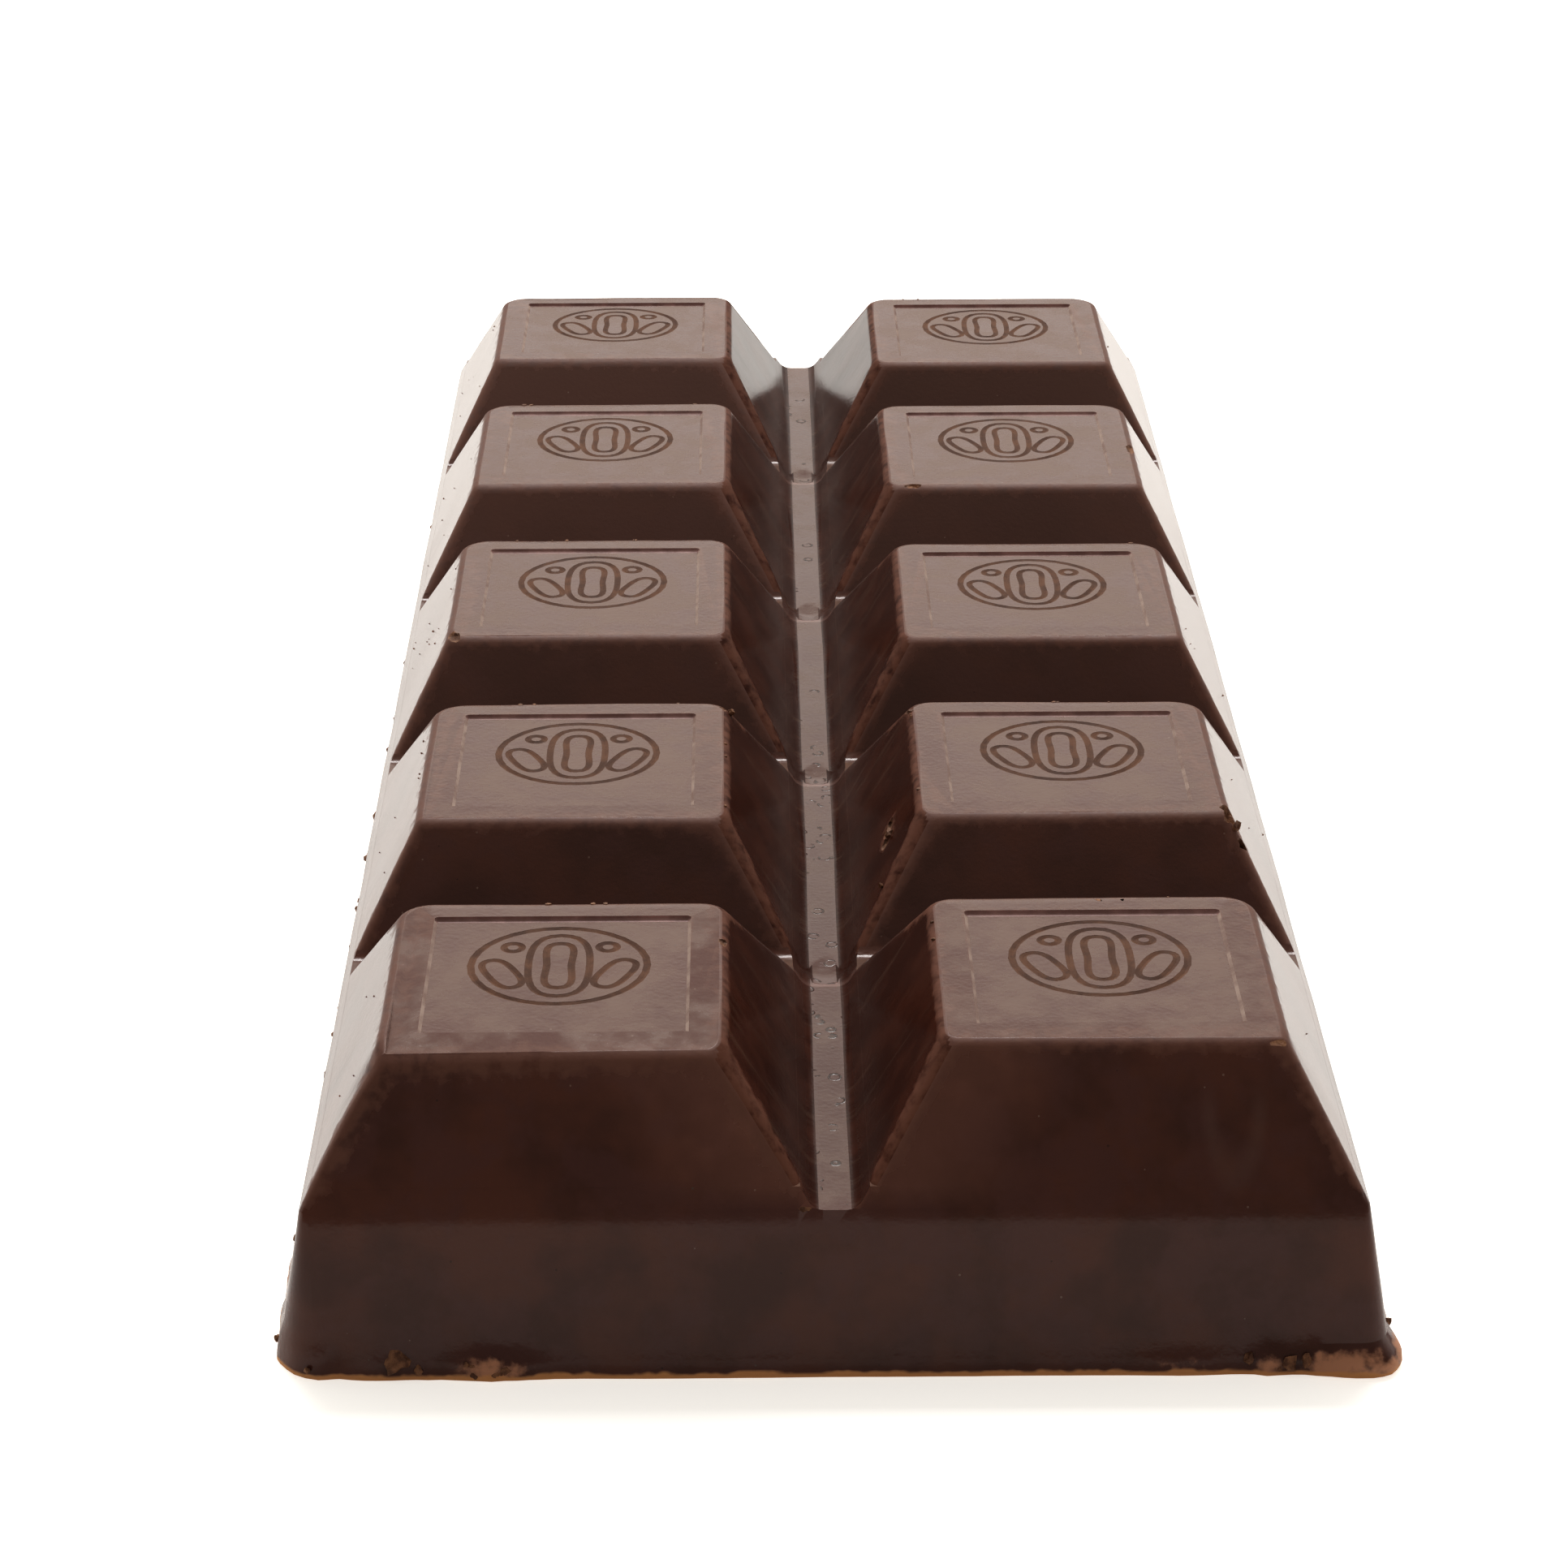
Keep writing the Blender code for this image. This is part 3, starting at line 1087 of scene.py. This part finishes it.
def newGroup(name, inputs, outputs):
    group = bpy.data.node_groups.new(name, "ShaderNodeTree")
    for label, value in inputs.items():
        kind = "NodeSocketVector" if label == "Place" else "NodeSocketFloat"
        socket = group.interface.new_socket(label, in_out="INPUT", socket_type=kind)
        if label != "Place":
            socket.default_value = value
    for label in outputs:
        group.interface.new_socket(label, in_out="OUTPUT", socket_type="NodeSocketFloat")
    start = group.nodes.new("NodeGroupInput")
    end = group.nodes.new("NodeGroupOutput")
    return group, start.outputs, end.inputs


def useGroup(tree, group, **values):
    return addNode(tree, "Group", {"node_tree": group}, **values).outputs[0]


def makePatchGroup():
    # soft-edged patches; Size is in mm and Cover is the share that they fill
    group, given, result = newGroup(
        "patches", {"Place": 0, "Size": 3.0, "Cover": 0.5, "Softness": 0.12, "Detail": 3.0}, ["Mask"]
    )
    scale = calculate(group, "DIVIDE", 1.0, given["Size"])
    cloud = addNode(
        group, "TexNoise", Vector=given["Place"], Scale=scale, Detail=given["Detail"], Roughness=0.6
    )
    middle = addNode(group, "MapRange", Value=given["Cover"], To_Min=0.72, To_Max=0.28).outputs[0]
    low = calculate(group, "SUBTRACT", middle, given["Softness"])
    high = calculate(group, "ADD", middle, given["Softness"])
    group.links.new(ramp(group, cloud.outputs["Fac"], low, high), result["Mask"])
    return group


def makeDotGroup():
    # scattered dots of two kinds; Spacing and Size are in mm, Share is how many places hold each
    group, given, result = newGroup(
        "dots", {"Place": 0, "Spacing": 1.5, "Size": 0.1, "Share": 0.3}, ["Mask", "Second"]
    )
    scale = calculate(group, "DIVIDE", 1.0, given["Spacing"])
    cell = addNode(group, "TexVoronoi", Vector=given["Place"], Scale=scale)
    reach = calculate(group, "DIVIDE", given["Size"], given["Spacing"])
    near = calculate(group, "LESS_THAN", cell.outputs["Distance"], reach)
    pickOut = addNode(group, "SeparateColor", Color=cell.outputs["Color"]).outputs
    for channel, label in enumerate(("Mask", "Second")):
        chosen = calculate(group, "LESS_THAN", pickOut[channel], given["Share"])
        group.links.new(times(group, near, chosen), result[label])
    return group


def makeDashGroup():
    # a place turned and squashed, so that dots drawn on it come out as long dashes
    group, given, result = newGroup(
        "dashes",
        {"Place": 0, "Turn": 0.0, "Stretch": 12.0, "Spacing": 1.5, "Size": 0.03, "Share": 0.3},
        ["Mask"],
    )
    turned = addNode(
        group, "VectorRotate", {"rotation_type": "Z_AXIS"}, Vector=given["Place"], Angle=given["Turn"]
    )
    thin = calculate(group, "DIVIDE", 1.0, given["Stretch"])
    squash = addNode(group, "CombineXYZ", i0=thin, i1=1.0, i2=1.0)
    drawn = addNode(
        group, "VectorMath", {"operation": "MULTIPLY"}, i0=turned.outputs[0], i1=squash.outputs[0]
    )
    dashes = addNode(group, "Group", {"node_tree": dotGroup}, Place=drawn.outputs[0])
    for label in ("Spacing", "Size", "Share"):
        group.links.new(given[label], dashes.inputs[label])
    group.links.new(dashes.outputs[0], result["Mask"])
    return group


def makeWearGroup():
    # wear that eats in from an edge with a ragged border
    group, given, result = newGroup(
        "wear", {"Place": 0, "Wear": 0.0, "Size": 0.8, "Limit": 0.6, "Softness": 0.15}, ["Mask"]
    )
    scale = calculate(group, "DIVIDE", 1.0, given["Size"])
    cloud = addNode(
        group, "TexNoise", Vector=given["Place"], Scale=scale, Detail=3.0, Roughness=0.55
    )
    ragged = addNode(
        group, "MapRange",
        Value=cloud.outputs["Fac"], From_Min=0.25, From_Max=0.75, To_Min=-0.45, To_Max=0.45,
    ).outputs[0]
    field = calculate(group, "ADD", given["Wear"], ragged)
    low = calculate(group, "SUBTRACT", given["Limit"], given["Softness"])
    high = calculate(group, "ADD", given["Limit"], given["Softness"])
    someWear = ramp(group, given["Wear"], 0.12, 0.5)
    group.links.new(times(group, ramp(group, field, low, high), someWear), result["Mask"])
    return group


def makeGrainGroup():
    # the fine grain of the set surface, as a height from 0 to 1
    group, given, result = newGroup("grain", {"Place": 0, "Size": 0.25, "Waves": 0.5}, ["Height"])
    scale = calculate(group, "DIVIDE", 1.0, given["Size"])
    fine = addNode(group, "TexNoise", Vector=given["Place"], Scale=scale, Detail=3.0)
    broad = addNode(group, "TexNoise", Vector=given["Place"], Scale=0.6, Detail=2.0)
    height = addNode(
        group, "Mix", Factor=given["Waves"], i2=fine.outputs["Fac"], i3=broad.outputs["Fac"]
    )
    group.links.new(height.outputs[0], result["Height"])
    return group


patchGroup = makePatchGroup()
dotGroup = makeDotGroup()
dashGroup = makeDashGroup()
wearGroup = makeWearGroup()
grainGroup = makeGrainGroup()


def startMaterial(material, roughness, shine=0.5):
    material.use_nodes = True
    tree = material.node_tree
    shader = tree.nodes["Principled BSDF"]
    shader.inputs["IOR"].default_value = 1.47
    shader.inputs["Roughness"].default_value = roughness
    shader.inputs["Specular IOR Level"].default_value = shine
    place = addNode(tree, "TexCoord").outputs["Object"]
    inMm = addNode(tree, "VectorMath", {"operation": "SCALE"}, Vector=place)
    inMm.inputs["Scale"].default_value = 1 / mm
    return tree, shader, inMm.outputs[0]


def addGrain(tree, shader, place, depth, size=0.22, waves=0.45, strength=0.5):
    grain = useGroup(tree, grainGroup, Place=place, Size=size, Waves=waves)
    bump = addNode(tree, "Bump", Strength=strength, Distance=depth, Height=grain)
    tree.links.new(bump.outputs[0], shader.inputs["Normal"])
    return bump


chocolateLook = {
    "deep": (0.076, 0.023, 0.014),
    "warm": (0.124, 0.040, 0.023),
    "purple": (0.108, 0.040, 0.034),
    # the hazy tone serves as painted glare on the far rows and as the smear's own tone
    "glareAndSmearTone": (0.165, 0.092, 0.074),
    # the two bloom tones are partly real bloom, partly painted light that makes the upward faces
    # lighter than the walls
    "bloomAndToplight": (0.132, 0.046, 0.032),
    "greyBloomAndToplight": (0.188, 0.100, 0.068),
    # the corner tone is partly bloom, partly painted light standing for a broad rounded corner
    "cornerBloomAndLightTone": (0.250, 0.115, 0.083),
    "worn": (0.190, 0.085, 0.057),
    # the foot tone and the foot line are painted glow, light shining through the thin ragged lip
    "foot": (0.60, 0.32, 0.20),
    "footGlowLine": (0.70, 0.37, 0.16),
    # the lip tone is a painted highlight along each dish's near lip
    "lipHighlightTone": (0.34, 0.20, 0.17),
    "dust": (0.42, 0.32, 0.26),
    "mark": (0.030, 0.014, 0.010),
    "gloss": 0.19,
    "bloomGloss": 0.30,
    "wornGloss": 0.6,
    "grainDepth": 0.00004,
    "markDepth": 0.000018,
    "smearAt": (15.65, 10.3),
    "smearHalf": (1.0, 2.3),
    "smearTop": (11.2, 9.8),
    "smearFrom": (-50.6, -50.9),
    "crowdAt": -27.0,
}


def smearMask(tree, axes):
    # a faint ring-shaped smear that hangs on one near slope
    look = chocolateLook
    fromMiddle = [
        calculate(tree, "DIVIDE", calculate(tree, "SUBTRACT", axes[axis], middle), half)
        for axis, middle, half in zip((0, 2), look["smearAt"], look["smearHalf"])
    ]
    flat = addNode(tree, "CombineXYZ", i0=fromMiddle[0], i1=fromMiddle[1]).outputs[0]
    reach = addNode(tree, "VectorMath", {"operation": "LENGTH"}, i0=flat).outputs["Value"]
    ring = ramp(tree, distanceFrom(tree, reach, 1.0), 0.5, 0.0)
    below = ramp(tree, axes[2], *look["smearTop"])
    return times(tree, ring, below, ramp(tree, axes[1], *look["smearFrom"]))


def bloomCover(tree, axes, offCentre):
    # the grey bloom's share, growing towards the middle of each block
    pitch = bar["rowPitch"]
    rowPlace = calculate(tree, "PINGPONG", calculate(tree, "ADD", axes[1], 5.5 * pitch), pitch / 2)
    fromMiddle = calculate(
        tree, "MAXIMUM",
        calculate(tree, "SUBTRACT", pitch / 2, rowPlace),
        distanceFrom(tree, offCentre, (bar["topInner"] + bar["topOuter"]) / 2),
    )
    return ramp(tree, fromMiddle, 6.6, 2.8, 0.38, 0.6)


def bubbleMarks(tree, place, axes, offCentre, topSide):
    # small broken rings along the bottom of the valley, most of them in one stretch of it
    cell = addNode(tree, "TexVoronoi", Vector=place, Scale=1.15)
    ring = ramp(tree, distanceFrom(tree, cell.outputs["Distance"], 0.3), 0.08, 0.01)
    openSide = useGroup(
        tree, patchGroup, Place=place, Size=0.6, Cover=0.55, Softness=0.08, Detail=0.0
    )
    drawn = addNode(tree, "SeparateColor", Color=cell.outputs["Color"]).outputs[0]
    fromCrowd = distanceFrom(tree, axes[1], chocolateLook["crowdAt"])
    crowd = ramp(tree, fromCrowd, 30.0, 6.0, 0.15, 0.8)
    strip = times(tree, ramp(tree, offCentre, 0.85, 0.6), ramp(tree, axes[2], 7.1, 6.95), topSide)
    return times(tree, ring, openSide, calculate(tree, "LESS_THAN", drawn, crowd), strip)


def makeChocolate():
    look = chocolateLook
    tree, shader, place = startMaterial(finishes[plain], look["gloss"])
    axes = addNode(tree, "SeparateXYZ", Vector=place).outputs
    facing = addNode(tree, "TexCoord").outputs["Normal"]
    upward = addNode(tree, "SeparateXYZ", Vector=facing).outputs[2]
    topSide = ramp(tree, upward, 0.72, 0.97)
    offCentre = calculate(tree, "ABSOLUTE", axes[0], 0)
    edge, foot = marked(tree, "edgeWear"), marked(tree, "footWearAndGlow")

    broadPatch = useGroup(tree, patchGroup, Place=place, Size=5.0, Cover=0.5, Softness=0.14)
    purplePatch = useGroup(tree, patchGroup, Place=place, Size=2.4, Cover=0.42, Softness=0.1)
    tone = blend(tree, broadPatch, look["deep"], look["warm"])
    tone = blend(tree, times(tree, purplePatch, 0.6), tone, look["purple"])
    # painted light: the far rows are washed paler, as glare would, and the near inner corners are
    # paler, partly bloom and partly painted light standing for a broad rounded corner
    tone = blend(tree, ramp(tree, axes[1], -80.0, 60.0, 0.0, 0.95), tone, look["glareAndSmearTone"])
    atCorner = times(tree, marked(tree, "cornerBloomAndLight"), ramp(tree, broadPatch, 0, 1, 0.6, 0.9))
    tone = blend(tree, atCorner, tone, look["cornerBloomAndLightTone"])
    tone = blend(tree, times(tree, smearMask(tree, axes), 0.35), tone, look["glareAndSmearTone"])

    # a thin bloom lies on what faces up, greyer in the middle of each block; its lighter tone on all
    # upward faces is partly painted light, making the tops lighter than the walls
    cover = bloomCover(tree, axes, offCentre)
    bloomPatch = useGroup(
        tree, patchGroup, Place=place, Size=1.9, Cover=cover, Softness=0.2, Detail=4.0
    )
    bloomAndToplightTone = blend(tree, bloomPatch, look["bloomAndToplight"], look["greyBloomAndToplight"])
    tone = blend(tree, times(tree, topSide, 0.85), tone, bloomAndToplightTone)
    # a painted highlight along each dish's near lip
    tone = blend(tree, times(tree, marked(tree, "lipHighlight"), 0.8), tone, look["lipHighlightTone"])

    scratches = useGroup(
        tree, dashGroup, Place=place, Turn=0.8, Stretch=22.0, Spacing=1.4, Size=0.02, Share=0.25
    )
    tone = blend(tree, times(tree, scratches, 0.08), tone, look["dust"])
    dots = addNode(
        tree, "Group", {"node_tree": dotGroup}, Place=place, Spacing=0.8, Size=0.05, Share=0.16
    ).outputs
    tone = blend(tree, times(tree, dots["Mask"], 0.3), tone, look["dust"])
    tone = blend(tree, times(tree, dots["Second"], 0.5), tone, look["mark"])
    marks = bubbleMarks(tree, place, axes, offCentre, topSide)
    tone = blend(tree, times(tree, marks, 0.75), tone, look["mark"])

    # worn edges, then the pale foot and the bright line that it ends in, both painted glow of light
    # shining through the thin ragged lip
    anyWear = calculate(tree, "MAXIMUM", edge, foot)
    worn = useGroup(tree, wearGroup, Place=place, Wear=anyWear, Size=0.6, Limit=0.68, Softness=0.36)
    atFoot = times(tree, worn, ramp(tree, foot, 0.1, 0.4))
    lineHeight = calculate(tree, "SUBTRACT", axes[2], times(tree, purplePatch, 0.14))
    footGlowLine = times(tree, ramp(tree, lineHeight, 0.24, 0.08), ramp(tree, upward, 0.5, 0.3))
    tone = blend(tree, times(tree, worn, 0.8), tone, look["worn"])
    tone = blend(tree, atFoot, tone, look["foot"])
    tone = blend(tree, footGlowLine, tone, look["footGlowLine"])
    tree.links.new(tone, shader.inputs["Base Color"])

    # worn places are dull, but for the level tops
    dull = calculate(tree, "MAXIMUM", worn, footGlowLine)
    dull = calculate(tree, "MAXIMUM", dull, ramp(tree, edge, 0.4, 0.9))
    dull = times(tree, dull, ramp(tree, upward, 0.995, 0.975))
    bloomed = times(tree, topSide, bloomPatch)
    gloss = ramp(tree, bloomed, 0, 1, look["gloss"], look["bloomGloss"])
    roughness = addNode(tree, "Mix", Factor=dull, i2=gloss, i3=look["wornGloss"]).outputs[0]
    tree.links.new(roughness, shader.inputs["Roughness"])

    bump = addGrain(tree, shader, place, look["grainDepth"])
    dents = addNode(tree, "Bump", Strength=1.0, Distance=look["markDepth"], Height=marks)
    tree.links.new(bump.outputs[0], dents.inputs["Normal"])
    tree.links.new(dents.outputs[0], shader.inputs["Normal"])


# the inner walls along the valley: painted darker than the rest, as shade, with faint streaks running
# down
shadedValleyLook = {
    "deep": (0.056, 0.015, 0.008),
    "warm": (0.088, 0.027, 0.015),
    "streak": (0.150, 0.090, 0.062),
    "worn": (0.190, 0.085, 0.057),
    # a painted highlight along each dish's near lip
    "lipHighlightTone": (0.20, 0.11, 0.09),
    "gloss": 0.2,
    "wornGloss": 0.6,
    "shine": 0.12,
    "depth": 0.00003,
}


def makeShadedValleyChocolate():
    look = shadedValleyLook
    tree, shader, place = startMaterial(finishes[inner], look["gloss"], look["shine"])
    patch = useGroup(tree, patchGroup, Place=place, Size=2.6, Cover=0.45, Softness=0.14)
    tone = blend(tree, patch, look["deep"], look["warm"])
    runDown = addNode(tree, "Mapping", Vector=place, Scale=(0.2, 1.7, 0.2)).outputs[0]
    streaks = addNode(tree, "TexNoise", Vector=runDown, Scale=1.0, Detail=2.0).outputs["Fac"]
    tone = blend(tree, ramp(tree, streaks, 0.55, 0.72, 0, 0.3), tone, look["streak"])
    # a painted highlight along each dish's near lip
    tone = blend(tree, times(tree, marked(tree, "lipHighlight"), 0.8), tone, look["lipHighlightTone"])
    edge = marked(tree, "edgeWear")
    worn = useGroup(tree, wearGroup, Place=place, Wear=edge, Size=0.6, Limit=0.68, Softness=0.36)
    tree.links.new(blend(tree, worn, tone, look["worn"]), shader.inputs["Base Color"])
    roughness = ramp(tree, edge, 0.4, 0.9, look["gloss"], look["wornGloss"])
    tree.links.new(roughness, shader.inputs["Roughness"])
    addGrain(tree, shader, place, look["depth"])


# broken chocolate, the bottoms of the pressed lines, the pale walls round each panel, a painted
# highlight, and the far line, painted paler against the shade in its groove
lineGrain = {"depth": 0.00004, "size": 0.18, "waves": 0.3}
patchyLooks = {
    broken: {
        "dark": (0.14, 0.062, 0.034),
        "light": (0.34, 0.175, 0.095),
        "patch": 0.5,
        "roughness": 0.62,
        "shine": 0.5,
        "grain": {"depth": 0.00012, "size": 0.15, "waves": 0.2, "strength": 0.6},
    },
    pressed: {
        "dark": (0.105, 0.045, 0.025),
        "light": (0.175, 0.080, 0.042),
        "patch": 1.2,
        "roughness": 0.55,
        "shine": 0.25,
        "grain": lineGrain,
    },
    # a painted highlight on the panel's walls
    panelHighlight: {
        "dark": (0.27, 0.17, 0.14),
        "light": (0.42, 0.31, 0.26),
        "patch": 1.2,
        "roughness": 0.45,
        "shine": 0.5,
        "grain": lineGrain,
    },
    # the far line is painted paler than chocolate, painted light that lifts the shade in its groove
    deep: {
        "dark": (0.30, 0.180, 0.165),
        "light": (0.44, 0.280, 0.26),
        "patch": 1.2,
        "roughness": 0.5,
        "shine": 0.5,
        "grain": lineGrain,
    },
}


def makePatchy(finish, look):
    tree, shader, place = startMaterial(finish, look["roughness"], look["shine"])
    patch = useGroup(
        tree, patchGroup, Place=place, Size=look["patch"], Cover=0.5, Softness=0.15
    )
    tree.links.new(blend(tree, patch, look["dark"], look["light"]), shader.inputs["Base Color"])
    addGrain(tree, shader, place, **look["grain"])


makeChocolate()
makeShadedValleyChocolate()
for index, look in patchyLooks.items():
    makePatchy(finishes[index], look)
print("finishes done")

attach(body, "root")
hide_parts("bar")
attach(crumbs, "root")


floorLook = {
    "size": 4,
    "colour": (0.93, 0.925, 0.90),
    "roughness": 0.8,
    "shine": 0.1,
    "glow": 0.68,
    "besideGlow": 0.5,
    "besideFrom": (-62.0, -44.0),
}


def makeFloor():
    look = floorLook
    bpy.ops.object.select_all(action="DESELECT")
    bpy.ops.mesh.primitive_plane_add(size=look["size"])
    floor = bpy.context.object
    floor.name = "floor"
    paleFloor = bpy.data.materials.new("paleFloor")
    tree, shader, place = startMaterial(paleFloor, look["roughness"], look["shine"])
    shader.inputs["Base Color"].default_value = (*look["colour"], 1)
    shader.inputs["Emission Color"].default_value = (*look["colour"], 1)
    # painted glow: the floor glows a little beside the bar, but not in front of it, and so lights the
    # flanks; where the camera sees it directly it glows more, which washes out the bar's contact shadow
    seen = addNode(tree, "LightPath").outputs["Is Camera Ray"]
    alongBar = addNode(tree, "SeparateXYZ", Vector=place).outputs[1]
    beside = ramp(tree, alongBar, *look["besideFrom"], 0, look["besideGlow"])
    shown = times(tree, seen, look["glow"])
    tree.links.new(calculate(tree, "MAXIMUM", beside, shown), shader.inputs["Emission Strength"])
    floor.data.materials.append(paleFloor)
    return floor


# the room's light by direction: y is far, z is up, and a band is where a change runs
roomLook = {
    "near": 0.3,
    "far": 1.75,
    "farBand": (-0.35, 0.4),
    "overhead": 0.45,
    "overheadBand": (0.28, 0.85),
    "horizon": 0.25,
    "horizonBand": (0.15, 0.27),
    "backdrop": 1.1,
    "nearTint": (1, 0.88, 0.78),
    "farTint": (1, 0.985, 0.93),
}


def makeRoom():
    look = roomLook
    world = bpy.data.worlds.new("studio")
    bpy.context.scene.world = world
    world.use_nodes = True
    tree = world.node_tree
    back = tree.nodes["Background"]
    way = addNode(tree, "SeparateXYZ", Vector=addNode(tree, "TexCoord").outputs["Generated"])
    high = ramp(tree, way.outputs["Z"], *look["overheadBand"], look["far"], look["overhead"])
    far = ramp(tree, way.outputs["Y"], *look["farBand"])
    horizon = ramp(tree, way.outputs["Z"], *look["horizonBand"], look["horizon"], 1.0)
    behind = times(tree, high, horizon)
    glow = addNode(tree, "Mix", Factor=far, i2=look["near"], i3=behind).outputs[0]
    seen = addNode(tree, "LightPath").outputs["Is Camera Ray"]
    shown = addNode(tree, "Mix", Factor=seen, i2=glow, i3=look["backdrop"]).outputs[0]
    tree.links.new(shown, back.inputs["Strength"])
    tint = blend(tree, far, look["nearTint"], look["farTint"])
    tree.links.new(tint, back.inputs["Color"])


# the softbox behind the bar and the camera before it, with places in mm and turns in degrees
boxLook = {"place": (0, 300, 522), "size": (320, 160), "tilt": -30, "power": 2.6}
cameraLook = {
    "place": (-3.37, -200.65, 87.71),
    "down": 23.184,
    "roll": 0.101,
    "turn": -0.594,
    "lens": 98.15,
    "sensor": 36,
    "gamma": 0.78,
}


def makeBox():
    bpy.ops.object.light_add(type="AREA", location=[length * mm for length in boxLook["place"]])
    lamp = bpy.context.object
    lamp.name = "softbox"
    lamp.data.shape = "RECTANGLE"
    lamp.data.size, lamp.data.size_y = (length * mm for length in boxLook["size"])
    lamp.data.energy = boxLook["power"]
    lamp.rotation_euler = (math.radians(boxLook["tilt"]), 0, 0)


def makeCamera():
    look = cameraLook
    bpy.ops.object.camera_add()
    camera = bpy.context.object
    camera.data.lens = look["lens"]
    camera.data.sensor_width = look["sensor"]
    camera.data.clip_start = 0.01
    camera.location = [length * mm for length in look["place"]]
    turns = (90 - look["down"], look["roll"], look["turn"])
    camera.rotation_euler = [math.radians(angle) for angle in turns]
    scene = bpy.context.scene
    scene.camera = camera
    scene.view_settings.view_transform = "Standard"
    scene.view_settings.gamma = look["gamma"]


makeFloor()
makeRoom()
makeBox()
makeCamera()
print("floor, light and camera done")
